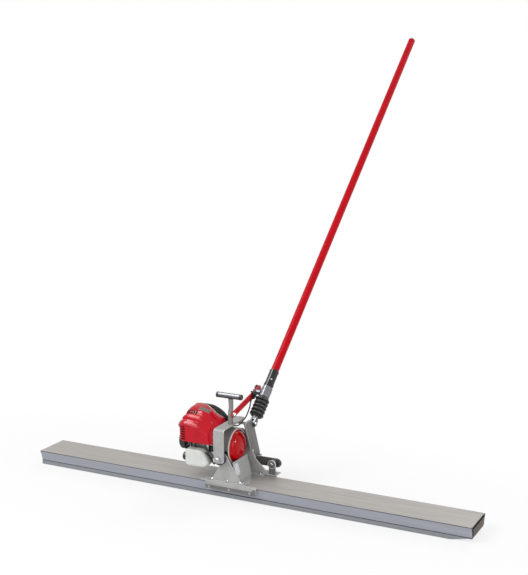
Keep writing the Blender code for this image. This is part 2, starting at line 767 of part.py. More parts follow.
    # The handle stands on a block that also carries the link arm's lower bolt.
    block_right = ARM_RIGHT - ARM_THICK - GAP
    block_left = block_right - POST_WIDTH
    low = HOOP_TOP + GAP
    high = PIVOT_A.z + 0.014
    tube_z = HOOP_TOP + HANDLE_RISE
    post_top = tube_z - HANDLE_RADIUS - GAP
    post_y = -0.008
    loops = []
    for left, right, front_y, back_y, z in (
        (block_left, block_right, PIVOT_A.y - POST_DEPTH / 2, PIVOT_A.y + POST_DEPTH / 2, low),
        (block_left, block_right, PIVOT_A.y - POST_DEPTH / 2, PIVOT_A.y + POST_DEPTH / 2, high),
        (block_left - 0.001, block_right - 0.001, post_y - 0.008, post_y + 0.007, high + 0.014),
        (block_left - 0.004, block_right, post_y - 0.006, post_y + 0.006, post_top),
    ):
        loops.append([(left, front_y, z), (right, front_y, z), (right, back_y, z), (left, back_y, z)])
    post = loft("handle_post", loops)
    lower = Vector((block_right, PIVOT_A.y, PIVOT_A.z))
    drill(post, [lower], X_AXIS, bore, 0.05)
    finish(post, "grey_paint")
    head = Vector((ARM_RIGHT + GAP, PIVOT_A.y, PIVOT_A.z))
    grip = ARM_THICK + POST_WIDTH + 0.004
    finish(hex_bolt("arm_bolt", head, -X_AXIS, BOLT_RADIUS, grip, 0.009, 0.006), "zinc")
    middle = Vector((HOOP_MID, post_y, tube_z))
    half = X_AXIS * (HANDLE_LENGTH / 2 - 0.012)
    inner = HANDLE_RADIUS - 0.002
    finish(ring("handle_tube", inner, HANDLE_RADIUS, middle - half, middle + half), "chrome")
    for name, sign in (("handle_cap_left", -1), ("handle_cap_right", 1)):
        start = middle + half * sign
        profile = [
            (0, -0.012),
            (inner - GAP, -0.012),
            (inner - GAP, GAP),
            (HANDLE_RADIUS, GAP),
            (HANDLE_RADIUS, 0.008),
            (HANDLE_RADIUS - 0.003, 0.012),
            (0, 0.012),
        ]
        finish(turned(name, profile, start, X_AXIS * sign), "black_rubber")


def shroud_outline(shrink):
    """Returns the engine shroud's section, drawn in by a distance."""
    points = [
        (-0.085, SHROUD_FOOT),
        (-0.087, 0.0925),
        (-0.079, 0.1040),
        (-0.067, 0.1130),
        (-0.053, 0.1395),
        (-0.026, 0.1530),
        (0.020, 0.1565),
        (0.055, 0.1445),
        (0.080, 0.1165),
        (SHROUD_BACK - 0.003, 0.0815),
        (SHROUD_BACK, SHROUD_FOOT),
    ]
    outline = []
    for y, z in points:
        reach = Vector((y - 0.004, z - 0.045))
        reach *= 1 - shrink / reach.length
        outline.append((reach.x + 0.004, reach.y + 0.045))
    if shrink > 0:
        outline[0] = (outline[0][0], -0.02)
        outline[-1] = (outline[-1][0], -0.02)
    return outline


def cowl(name):
    """Makes the engine's domed shell, open below, from sections that fall to the right."""
    wall = SHROUD_WALL
    stations = (
        (SHROUD_LEFT, 0.80, 0.80),
        (SHROUD_LEFT + 0.010, 0.92, 0.92),
        (SHROUD_LEFT + 0.030, 1.0, 1.0),
        (FAN_RIGHT - 0.078, 1.0, 1.0),
        (FAN_RIGHT - 0.063, 1.0, 0.966),
        (FAN_RIGHT - 0.042, 1.0, 0.884),
        (FAN_RIGHT - 0.031, 1.0, 0.822),
        (FAN_RIGHT - 0.028, 0.94, 0.810),
        (FAN_RIGHT - 0.015, 0.93, 0.735),
        (FAN_RIGHT, 0.92, 0.600),
    )
    inner = [(SHROUD_LEFT + wall, 0.83, 0.83), (SHROUD_LEFT + 0.012, 0.92, 0.92)]
    inner += [(x - wall * 0.8, wide, tall) for x, wide, tall in stations[2:]]
    shells = []
    for shrink, rows in ((0, stations), (wall, inner)):
        loops = []
        for x, wide, tall in rows:
            section = shroud_outline(shrink)
            loops.append([(x, y * wide, AXIS_Z + SHROUD_FOOT + (z - SHROUD_FOOT) * tall) for y, z in section])
        shells.append(loft(name, loops))
    return cut(*shells)


def build_engine():
    """Makes the engine's case, covers, tank, starter and inner shafts."""
    axis = Vector((0, 0, AXIS_Z))
    bell = FLYWHEEL_RADIUS + 0.004
    left = SHROUD_LEFT + 0.027
    loops = []
    for x, half, low, high in (
        (left, CASE_HALF, -0.053, 0.031),
        (CASE_RIGHT - 0.026, CASE_HALF, -0.053, 0.031),
        (CASE_RIGHT - 0.021, bell + 0.005, -bell - 0.005, bell + 0.005),
        (CASE_RIGHT, bell + 0.005, -bell - 0.005, bell + 0.005),
    ):
        corner = 0.012
        section = []
        for y, z in (
            (-half + corner, low),
            (half - corner, low),
            (half, low + corner),
            (half, high - corner),
            (half - corner, high),
            (-half + corner, high),
            (-half, high - corner),
            (-half, low + corner),
        ):
            section.append((x, y, AXIS_Z + z))
        loops.append(section)
    case = loft("crankcase", loops)
    case_bore = SHAFT_RADIUS + 0.0005 + GAP
    pocket = Vector((CASE_RIGHT - 0.018, 0, AXIS_Z))
    cut(
        case,
        rod("cutter", axis + X_AXIS * (left - 0.01), axis, case_bore, 20),
        rod("cutter", pocket, pocket + X_AXIS * 0.05, bell, 32),
    )
    finish(case, "cast")

    # The finned cylinder stands on the crankcase under the shroud.
    loops = []
    barrel = (SHROUD_LEFT + 0.052, CASE_RIGHT - 0.046)
    level = AXIS_Z + 0.031 + GAP
    fins = 6
    for fin in range(fins):
        for reach, rise in ((0.030, 0.0), (0.030, 0.009), (FIN_REACH, 0.009), (FIN_REACH, 0.013)):
            spread = reach - 0.030
            low = barrel[0] - spread * 0.5
            high = barrel[1] + spread * 0.5
            z = level + fin * 0.0132 + rise
            loops.append([(low, -reach, z), (high, -reach, z), (high, reach, z), (low, reach, z)])
    finish(loft("engine_cylinder", loops), "cast")

    # One domed shell falls towards the hoop. Its front part is the red shroud.
    clutch_eye = CLUTCH_RADIUS + 0.009
    shroud = cowl("engine_shroud")
    beyond = 2 * SHROUD_LENGTH
    across = (SHROUD_LEFT - beyond, SHROUD_LEFT + beyond)
    upright = (AXIS_Z - beyond, AXIS_Z + beyond)
    cut(shroud, box("cutter", across, (SHROUD_PARTING, beyond), upright))
    drill(shroud, [axis + X_AXIS * FAN_RIGHT], X_AXIS, clutch_eye, 0.02, 32)
    finish(shroud, "red_gloss")

    # Its rear part is black, and carries the ring that joins the engine to the mount plate.
    fan_case = cowl("fan_case")
    front = SHROUD_PARTING + GAP
    cut(fan_case, box("cutter", across, (-beyond, front), upright))
    foot = SHROUD_FOOT - GAP
    web = bell + 0.010
    outline = [
        (-bell - 0.013, -web),
        (-bell - 0.013, foot),
        (front, foot),
        (front, bell + 0.018),
        (bell, bell + 0.018),
        (bell + 0.028, bell - 0.014),
        (bell + 0.028, -web),
    ]
    plate = prism_x("plate", [(y, AXIS_Z + z) for y, z in outline], FAN_LEFT, FAN_RIGHT)
    fuse(fan_case, plate)
    drill(fan_case, [axis + X_AXIS * FAN_LEFT], X_AXIS, bell, 0.05, 32)

    # The mount plate bolts the engine to the left edge of the hoop.
    front = -HOOP_INNER + 0.001
    outline = [
        (front + 0.026, AXIS_Z - 0.050),
        (0.060, AXIS_Z - 0.050),
        (0.060, HOOP_TOP - HOOP_THICK),
        (front + 0.012, HOOP_TOP - HOOP_THICK),
        (front, HOOP_TOP - HOOP_THICK - 0.012),
        (front, AXIS_Z + 0.006),
        (front + 0.026, AXIS_Z),
    ]
    mount = prism_x("engine_mount_plate", outline, MOUNT_LEFT, MOUNT_RIGHT)
    drill(mount, [axis + X_AXIS * MOUNT_LEFT], X_AXIS, clutch_eye, 0.03, 32)
    finish(mount, "grey_paint")

    # The crankshaft turns the flywheel fan and the clutch shoes.
    crank = SHAFT_RADIUS + 0.0005
    shaft_left = axis + X_AXIS * (SHROUD_LEFT + 0.0225)
    shaft_right = axis + X_AXIS * (DRUM_LEFT - 0.0072)
    finish(rod("crankshaft", shaft_left, shaft_right, crank, 20), "steel")
    wheel = axis + X_AXIS * (CASE_RIGHT - 0.0145)
    profile = [
        (crank + GAP, 0),
        (0.030, 0),
        (0.030, 0.004),
        (FLYWHEEL_RADIUS, 0.004),
        (FLYWHEEL_RADIUS, 0.012),
        (crank + GAP, 0.012),
    ]
    finish(turned("flywheel_fan", profile, wheel, X_AXIS, 32), "cast")
    shoes_left = axis + X_AXIS * (DRUM_LEFT - 0.0192)
    profile = [(crank + GAP, 0), (CLUTCH_RADIUS - 0.002, 0)]
    profile += [(CLUTCH_RADIUS - 0.002, 0.0125), (crank + GAP, 0.0125)]
    finish(turned("clutch_shoes", profile, shoes_left, X_AXIS, 32), "steel")

    # The rope starter closes the left end of the engine.
    cup = axis + X_AXIS * (SHROUD_LEFT - GAP)
    depth = 0.020
    wall = 0.004
    profile = [
        (STARTER_RADIUS - wall, 0),
        (STARTER_RADIUS, 0),
        (STARTER_RADIUS, depth - 0.006),
        (STARTER_RADIUS - 0.010, depth),
        (0, depth),
        (0, depth - wall),
        (STARTER_RADIUS - 0.012, depth - wall),
        (STARTER_RADIUS - wall, depth - wall - 0.006),
    ]
    housing = turned("starter_housing", profile, cup, -X_AXIS, 32)
    pull = Vector((0, -0.457, 0.889)).normalized()
    middle = cup - X_AXIS * 0.010
    guide = STARTER_RADIUS + 0.013
    fuse(housing, rod("guide", middle + pull * (STARTER_RADIUS - 0.003), middle + pull * guide, 0.007, 12))
    drill(housing, [middle + pull * STARTER_RADIUS], pull, 0.003, 0.016, 10)
    finish(housing, "black_plastic")
    reel = cup - X_AXIS * 0.002
    flange = STARTER_RADIUS - 0.010
    groove = flange - 0.006
    profile = [
        (0, 0),
        (flange, 0),
        (flange, 0.0025),
        (groove, 0.0035),
        (groove, 0.0065),
        (flange, 0.0075),
        (flange, 0.010),
        (0.008, 0.010),
        (0.008, depth - wall - 0.002 - GAP),
        (0, depth - wall - 0.002 - GAP),
    ]
    finish(turned("starter_pulley", profile, reel, -X_AXIS, 24), "dark_plastic")
    across = pull.cross(X_AXIS)
    loops = []
    for along, wide, deep in (
        (guide + GAP, 0.006, 0.006),
        (guide + 0.014, 0.007, 0.006),
        (guide + 0.022, 0.018, 0.008),
        (guide + 0.030, 0.018, 0.008),
        (guide + 0.034, 0.014, 0.005),
    ):
        loop = []
        for i in range(12):
            angle = 2 * math.pi * i / 12
            side = across * (wide * math.cos(angle)) + X_AXIS * (deep * math.sin(angle))
            loop.append(middle + pull * along + side)
        loops.append(loop)
    finish(loft("starter_grip", loops, smooth=True), "black_rubber")

    # The fuel tank sits in front of the crankcase, with its filler on the left.
    high = AXIS_Z - 0.0165
    low = high - TANK_HEIGHT
    tank_left = SHROUD_LEFT + 0.029
    tank_right = tank_left + 0.118
    outline = [
        (tank_left + 0.010, low),
        (tank_right - 0.024, low),
        (tank_right, low + 0.023),
        (tank_right - 0.032, high - 0.004),
        (tank_right - 0.042, high),
        (tank_left + 0.006, high),
        (tank_left, high - 0.008),
        (tank_left, low + 0.012),
    ]
    tank_front = -0.081
    tank_back = -CASE_HALF - GAP
    loops = []
    for y, inset in (
        (tank_front, 0.007),
        (tank_front + 0.006, 0.0),
        (tank_back - 0.004, 0.0),
        (tank_back, 0.004),
    ):
        loops.append(inset_loop(outline, inset, y))
    tank = loft("fuel_tank", loops)
    skin = 0.003
    hollow = []
    for y, inset in ((tank_front + skin, 0.008), (tank_front + 0.008, skin), (tank_back - skin, skin)):
        hollow.append(inset_loop(outline, inset, y))
    filler = Vector((tank_left, (tank_front + tank_back) / 2, (low + high) / 2))
    cut(
        tank,
        loft("cutter", hollow),
        rod("cutter", filler - X_AXIS * 0.02, filler + X_AXIS * 0.01, 0.0115, 20),
    )
    finish(tank, "tank_white")
    cap = filler - X_AXIS * GAP
    profile = [
        (0, -0.009),
        (0.0108, -0.009),
        (0.0108, 0),
        (0.0175, 0),
        (0.0175, 0.011),
        (0.0150, 0.014),
        (0, 0.014),
    ]
    finish(turned("fuel_cap", profile, cap, -X_AXIS, 20), "black_plastic")

    # The silencer lies behind the shroud's front face, and the carburettor behind the cylinder.
    muffler = box(
        "muffler",
        (SHROUD_LEFT + 0.038, CASE_RIGHT - 0.055),
        (-0.078, -FIN_REACH - GAP),
        (AXIS_Z + 0.028, AXIS_Z + 0.084),
    )
    finish(muffler, "steel")
    throat = Vector(((barrel[0] + barrel[1]) / 2, FIN_REACH + GAP, AXIS_Z + 0.056))
    cleaner_front = SHROUD_BACK + GAP
    reach = cleaner_front - GAP - throat.y
    profile = [
        (0, 0),
        (0.012, 0),
        (0.012, 0.010),
        (0.018, 0.010),
        (0.018, 0.030),
        (0.012, 0.030),
        (0.012, reach),
        (0, reach),
    ]
    drill(fan_case, [throat + Y_AXIS * reach], Y_AXIS, 0.012 + RUN, 0.012)
    finish(fan_case, "black_plastic")
    finish(turned("carburettor", profile, throat, Y_AXIS, 16), "cast")
    loops = []
    for y, inset in ((cleaner_front, 0.0), (cleaner_front + 0.022, 0.0), (cleaner_front + 0.034, 0.010)):
        outline = [
            (throat.x - 0.034, AXIS_Z + 0.022),
            (throat.x + 0.034, AXIS_Z + 0.022),
            (throat.x + 0.034, AXIS_Z + 0.080),
            (throat.x + 0.024, AXIS_Z + 0.090),
            (throat.x - 0.024, AXIS_Z + 0.090),
            (throat.x - 0.034, AXIS_Z + 0.080),
        ]
        loops.append(inset_loop(outline, inset, y))
    finish(loft("air_cleaner", loops), "black_plastic")
    lever_x = throat.x + 0.034 + GAP
    outline = rounded_end((cleaner_front + 0.011, AXIS_Z + 0.050), 0.006, 0, -180, 6)
    outline += [(cleaner_front + 0.0065, AXIS_Z + 0.078), (cleaner_front + 0.0155, AXIS_Z + 0.078)]
    finish(prism_x("choke_lever", outline, lever_x, lever_x + 0.003), "black_plastic")

    # The stop switch slides on the front of the crankcase bell.
    face = -(bell + 0.005) - GAP
    switch_x = CASE_RIGHT - 0.0115
    across = (switch_x - 0.006, switch_x + 0.006)
    switch = box("stop_switch", across, (face - 0.007, face), (AXIS_Z - 0.018, AXIS_Z + 0.002))
    finish(switch, "black_plastic")


def inset_loop(outline, inset, y):
    """Draws an (x, z) outline in towards its middle and stands it at a depth."""
    middle_x = sum(point[0] for point in outline) / len(outline)
    middle_z = sum(point[1] for point in outline) / len(outline)
    loop = []
    for x, z in outline:
        reach = Vector((x - middle_x, z - middle_z))
        reach *= 1 - inset / reach.length
        loop.append((middle_x + reach.x, y, middle_z + reach.y))
    return loop


def build_pole():
    """Makes the rod end, bellows, collar, sleeve and pole along the pole's axis."""
    # The rod end is a fork with a threaded shank.
    cheek = 0.0045
    wide = 0.0125
    half = 0.0125
    loops = []
    outline = [
        (-wide, -0.012),
        (-cheek, -0.012),
        (-cheek, 0.0165),
        (cheek, 0.0165),
        (cheek, -0.012),
        (wide, -0.012),
        (wide, 0.024),
        (-wide, 0.024),
    ]
    for lift in (-half, half):
        loops.append([on_pole(along) + X_AXIS * x + POLE_UP * lift for x, along in outline])
    fork = loft("rod_end", loops)
    drill(fork, [PIVOT_C], X_AXIS, PIN_RADIUS + PIN_PLAY, 0.03)
    neck_end = BELLOWS_FOOT + 0.013
    profile = [
        (0, 0.020),
        (FORK_NECK, 0.020),
        (FORK_NECK, neck_end),
        (SPINDLE_RADIUS, neck_end),
        (SPINDLE_RADIUS, COLLAR_HEAD + 0.010),
        (0, COLLAR_HEAD + 0.010),
    ]
    fuse(fork, turned("spindle", profile, PIVOT_C, POLE_DIR, 20))
    finish(fork, "chrome")

    # The bellows is a ribbed rubber boot with an open bore.
    wall = 0.0022
    root = BELLOWS_RADIUS - 0.0065
    length = BELLOWS_HEAD - BELLOWS_FOOT
    cuff = 0.011
    neck = FORK_NECK + GAP
    spigot = POLE_RADIUS + 0.0005
    outside = [(neck + 0.004, 0), (neck + 0.004, cuff * 0.7)]
    inside = [(neck, 0), (neck, cuff)]
    pitch = (length - 2 * cuff) / BELLOWS_RIBS
    for index in range(BELLOWS_RIBS):
        low = cuff + pitch * index
        crest = BELLOWS_RADIUS
        outside += [(root, low), (crest, low + pitch * 0.35), (crest, low + pitch * 0.65)]
        inside += [(root - wall, low + 0.0008)]
        inside += [(crest - wall, low + pitch * 0.40), (crest - wall, low + pitch * 0.60)]
    outside += [(root, length - cuff), (spigot + 0.0045, length - cuff * 0.7), (spigot + 0.0045, length)]
    inside += [(root - wall, length - cuff - 0.0008)]
    inside += [(spigot + GAP, length - cuff + 0.0008), (spigot + GAP, length)]
    profile = outside + list(reversed(inside))
    finish(turned("bellows", profile, on_pole(BELLOWS_FOOT), POLE_DIR, 20), "black_rubber")

    # The collar carries the pole's bearing and the link arm's upper trunnion.
    bore = SPINDLE_RADIUS + RUN
    reach = COLLAR_HEAD - COLLAR_FOOT
    shoulder = BELLOWS_HEAD + GAP - COLLAR_FOOT
    nut = SPINDLE_RADIUS + 0.0060
    profile = [
        (bore, 0),
        (spigot, 0),
        (spigot, shoulder),
        (COLLAR_RADIUS, shoulder),
        (COLLAR_RADIUS, reach),
        (nut + RUN, reach),
        (nut + RUN, 0.024),
        (bore, 0.024),
    ]
    collar = turned("collar", profile, on_pole(COLLAR_FOOT), POLE_DIR, 28)
    stub = Vector((-COLLAR_RADIUS + 0.005, PIVOT_B.y, PIVOT_B.z))
    boss = stub.x - ARM_RIGHT - 2 * GAP
    tip = stub.x - ARM_LEFT + 0.002
    profile = [
        (0, 0),
        (0.012, 0),
        (0.012, boss),
        (PIN_RADIUS, boss),
        (PIN_RADIUS, tip),
        (0.0115, tip),
        (0.0115, tip + 0.005),
        (0, tip + 0.005),
    ]
    fuse(collar, turned("trunnion", profile, stub, -X_AXIS, 20))
    finish(collar, "cast")

    # The sleeve ends in the drive nut, and the pole stands in the sleeve.
    start = COLLAR_HEAD + RUN
    tube = POLE_RADIUS + GAP
    thread = SPINDLE_RADIUS + GAP
    profile = [
        (thread, -0.035),
        (nut, -0.035),
        (nut, 0),
        (SLEEVE_RADIUS, 0),
        (SLEEVE_RADIUS, SLEEVE_LENGTH),
        (tube, SLEEVE_LENGTH),
        (tube, SLEEVE_FLOOR),
        (thread, SLEEVE_FLOOR),
    ]
    sleeve = turned("pole_sleeve", profile, on_pole(start), POLE_DIR, 28)
    inner = POLE_RADIUS - POLE_WALL
    pole = ring("pole_tube", inner, POLE_RADIUS, on_pole(POLE_FOOT), on_pole(POLE_HEAD), 28)
    aim = (X_AXIS * 0.534 + POLE_UP * 0.845).normalized()
    spot = on_pole(POLE_FOOT + 0.016)
    play = 0.0045 + PIN_PLAY
    for part in (sleeve, pole):
        drill(part, [spot + aim * POLE_RADIUS], aim, play, 0.008, 12)
    finish(sleeve, "black_plastic")
    finish(pole, "red_pole")
    button_tip = spot + aim * (SLEEVE_RADIUS + 0.003)
    button = rod("snap_button", spot + aim * (POLE_RADIUS - 0.006), button_tip, 0.0045, 16)
    finish(button, "zinc")
    profile = [
        (0, -0.030),
        (inner - GAP, -0.030),
        (inner - GAP, GAP),
        (POLE_RADIUS, GAP),
        (POLE_RADIUS, 0.002),
        (POLE_RADIUS - 0.004, PLUG_HEIGHT),
        (0, PLUG_HEIGHT),
    ]
    finish(turned("pole_plug", profile, on_pole(POLE_HEAD), POLE_DIR, 28), "black_plastic")


def arm_point(along, lift):
    """Returns the (y, z) place beside the link arm, measured from its lower pivot."""
    place = PIVOT_A + ARM_DIR * along + ARM_UP * lift
    return (place.y, place.z)


def build_arm():
    """Makes the red link arm with its throttle clamp, lever and cable."""
    half = ARM_WIDTH / 2
    outline = []
    for along, lift in rounded_end((0, 0), half, 90, 270, 8):
        outline.append(arm_point(along, lift))
    for along, lift in rounded_end((ARM_LENGTH + ARM_OVERHANG, 0), half, -90, 90, 8):
        outline.append(arm_point(along, lift))
    arm = prism_x("link_arm", outline, ARM_LEFT, ARM_RIGHT)
    drill(arm, [(ARM_LEFT, PIVOT_A.y, PIVOT_A.z)], X_AXIS, BOLT_RADIUS + PIN_PLAY, 0.03)
    drill(arm, [(ARM_LEFT, PIVOT_B.y, PIVOT_B.z)], X_AXIS, PIN_RADIUS + LINK_PLAY, 0.03)
    finish(arm, "red_pole")
    clamp_low = 0.0005 - half
    clamp_high = half + 0.006
    outline = [
        arm_point(GRIP - GRIP_HALF, clamp_low),
        arm_point(GRIP + GRIP_HALF, clamp_low),
        arm_point(GRIP + GRIP_HALF, clamp_high),
        arm_point(GRIP - GRIP_HALF, clamp_high),
    ]
    clamp_right = ARM_RIGHT + GAP + 0.008
    finish(prism_x("throttle_clamp", outline, ARM_RIGHT + GAP, clamp_right), "black_plastic")
    pivot = (GRIP, LEVER_LIFT)
    outline = []
    for along, lift in rounded_end(pivot, 0.006, -135, 45, 6):
        outline.append(arm_point(along, lift))
    for along, lift in rounded_end((GRIP - 0.030, LEVER_LIFT + 0.026), 0.0035, 45, 225, 6):
        outline.append(arm_point(along, lift))
    lever_left = clamp_right + GAP
    finish(prism_x("throttle_lever", outline, lever_left, lever_left + 0.004), "cast")

    # The cable leaves the clamp's front edge and runs under the hoop to the mount plate.
    x = (ARM_RIGHT + clamp_right) / 2
    start = arm_point(GRIP - GRIP_HALF - RUN, clamp_low + 0.004)
    start = Vector((x, start[0], start[1]))
    guide = [
        start,
        start - ARM_DIR * 0.016,
        Vector((x + 0.002, 0.106, PIVOT_C.z + 0.055)),
        Vector((x + 0.004, 0.072, HOOP_TOP + 0.0105)),
        Vector((x + 0.006, 0.041, HOOP_TOP + 0.0014)),
        Vector((x + 0.002, 0.018, HOOP_TOP - 0.0095)),
        Vector((x - 0.010, 0.009, AXIS_Z + 0.0838)),
        Vector((MOUNT_RIGHT + 0.010, 0.006, AXIS_Z + 0.083)),
        Vector((MOUNT_RIGHT + GAP, 0.006, AXIS_Z + 0.083)),
    ]
    points = smooth_path(guide, 4)
    finish(sweep("throttle_cable", points, 0.0028), "black_rubber")


def smooth_path(guide, steps):
    """Runs a Catmull-Rom curve through the guide points."""
    points = []
    last = len(guide) - 1
    for index in range(last):
        p0 = guide[max(index - 1, 0)]
        p1 = guide[index]
        p2 = guide[index + 1]
        p3 = guide[min(index + 2, last)]
        for step in range(steps):
            t = step / steps
            first = p1 * 2 + (p2 - p0) * t
            second = (p0 * 2 - p1 * 5 + p2 * 4 - p3) * t * t
            third = (p1 * 3 - p0 - p2 * 3 + p3) * t * t * t
            points.append((first + second + third) * 0.5)
    points.append(guide[-1])
    return points


def hang(place, *names):
    """Moves the origins of named pieces to a place on their joint's axis."""
    for name in names:
        obj = bpy.data.objects[name]
        for vertex in obj.data.vertices:
            vertex.co -= place
        obj.location = place


def set_origins():
    """Puts each moving piece's origin on the axis that it turns or slides on."""
    axis = Vector((0, 0, AXIS_Z))
    hang(axis, "exciter_shaft", "eccentric_weight", "clutch_drum")
    hang(axis, "crankshaft", "flywheel_fan", "clutch_shoes", "starter_pulley")
    hang(PIVOT_C, "rod_end", "bellows", "collar", "pole_sleeve", "pole_tube", "pole_plug")
    hang(PIVOT_A, "link_arm", "throttle_clamp")
    for name in ("starter_grip", "fuel_cap", "stop_switch", "snap_button"):
        obj = bpy.data.objects[name]
        corners = [v.co for v in obj.data.vertices]
        middle = sum(corners, Vector()) / len(corners)
        hang(middle, name)
    hang(Vector((0, *arm_point(GRIP, LEVER_LIFT))), "throttle_lever")
    hang(Vector((0, SHROUD_BACK + GAP + 0.011, AXIS_Z + 0.050)), "choke_lever")


clear_scene()
build_blade()
build_base()
build_exciter()
build_carrier()
build_engine()
build_pole()
build_arm()
set_origins()
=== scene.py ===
"""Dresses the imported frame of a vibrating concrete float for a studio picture.

Sizes are in metres on the frame's own axes: X along the blade, Y back to the
operator, Z up, with the origin in the middle of the blade's sole.
"""

import json
import logging
import math
from dataclasses import dataclass, field
from enum import Enum
from typing import Any, Dict, List, Optional, Sequence, Tuple, Union

import bmesh
import bpy
from mathutils import Matrix, Vector
from mathutils.bvhtree import BVHTree


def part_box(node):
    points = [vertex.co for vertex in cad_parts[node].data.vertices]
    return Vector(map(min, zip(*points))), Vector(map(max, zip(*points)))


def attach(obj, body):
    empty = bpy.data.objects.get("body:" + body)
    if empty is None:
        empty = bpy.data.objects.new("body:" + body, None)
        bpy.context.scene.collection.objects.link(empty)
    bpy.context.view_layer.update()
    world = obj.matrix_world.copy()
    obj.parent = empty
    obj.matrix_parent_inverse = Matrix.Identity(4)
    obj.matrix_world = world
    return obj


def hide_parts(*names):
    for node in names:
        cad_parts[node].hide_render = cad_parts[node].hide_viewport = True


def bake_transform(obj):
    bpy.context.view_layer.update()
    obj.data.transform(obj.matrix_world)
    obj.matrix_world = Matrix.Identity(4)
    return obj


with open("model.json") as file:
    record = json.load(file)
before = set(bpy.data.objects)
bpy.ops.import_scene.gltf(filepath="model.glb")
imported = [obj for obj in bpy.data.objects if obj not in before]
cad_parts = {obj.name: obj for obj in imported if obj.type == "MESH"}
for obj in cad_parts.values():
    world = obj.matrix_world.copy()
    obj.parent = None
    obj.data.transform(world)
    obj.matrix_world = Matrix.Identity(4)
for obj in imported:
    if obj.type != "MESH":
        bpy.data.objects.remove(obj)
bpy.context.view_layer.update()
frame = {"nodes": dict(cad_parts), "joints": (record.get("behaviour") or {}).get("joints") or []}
LOG = logging.getLogger("concrete_float")

Flat = Tuple[float, float]
Outline = List[Flat]
Loop = List[Vector]
Size = Tuple[float, float, float]

X_AXIS = Vector((1, 0, 0))
Y_AXIS = Vector((0, 1, 0))
Z_AXIS = Vector((0, 0, 1))
JOINTS = {joint["name"]: joint for joint in frame["joints"]}
MM_PER_M = 1000
SMOOTHEST = 0.03
CREASE = 32.0
BASE = "base"
RIM = 0.0008
PIN_ALONG = 0.150
PIN_LIFT = 0.008


def joint_point(name: str) -> Vector:
    """Returns a point on the axis of a joint of the frame."""
    return Vector(JOINTS[name]["pos_m"])


def joint_axis(name: str) -> Vector:
    """Returns the unit axis of a joint of the frame."""
    return Vector(JOINTS[name]["axis"]).normalized()


def collar_pin() -> Vector:
    """Returns the middle of the collar's pin, in the pole's own plane."""
    axis = joint_axis("pole_turn")
    return joint_point("pole_turn") + axis * PIN_ALONG + X_AXIS.cross(axis).normalized() * PIN_LIFT


def crank_height() -> float:
    """Returns the height of the crankshaft's axis."""
    return joint_point("crank_spin").z


def linear(colour: str) -> Tuple[float, float, float, float]:
    """Turns an sRGB hex colour into linear light.

    Args:
        colour: six hex digits after a hash sign.

    Returns:
        Red, green, blue and an opacity of one.
    """
    channels = []
    for start in (1, 3, 5):
        value = int(colour[start:start + 2], 16) / 255
        channels.append(value / 12.92 if value <= 0.04045 else ((value + 0.055) / 1.055) ** 2.4)
    return (channels[0], channels[1], channels[2], 1.0)


def add_node(
    tree: bpy.types.NodeTree,
    kind: str,
    settings: Optional[Dict[Union[str, int], Any]] = None,
    links: Optional[Dict[Union[str, int], bpy.types.NodeSocket]] = None,
) -> bpy.types.Node:
    """Adds a node with its settings and its incoming links.

    Args:
        tree: the shader or geometry tree.
        kind: the node's type name.
        settings: values for the node's properties or, by name or number, its inputs.
        links: the sockets that feed its inputs, by name or number.

    Returns:
        The new node.
    """
    node = tree.nodes.new(kind)
    for key, value in (settings or {}).items():
        if isinstance(key, str) and hasattr(node, key):
            setattr(node, key, value)
        else:
            node.inputs[key].default_value = value
    for key, socket in (links or {}).items():
        tree.links.new(socket, node.inputs[key])
    return node


def add_object(name: str, data: bpy.types.ID) -> bpy.types.Object:
    """Adds an object to the scene.

    Args:
        name: its name.
        data: its mesh, camera or lamp.

    Returns:
        The object.
    """
    obj = bpy.data.objects.new(name, data)
    bpy.context.scene.collection.objects.link(obj)
    return obj


class Grain(Enum):
    """The run of a surface's fine marks, as the stretch of its pattern on each axis."""

    EVEN = (1.0, 1.0, 1.0)
    ALONG_BLADE = (0.03, 1.0, 1.0)


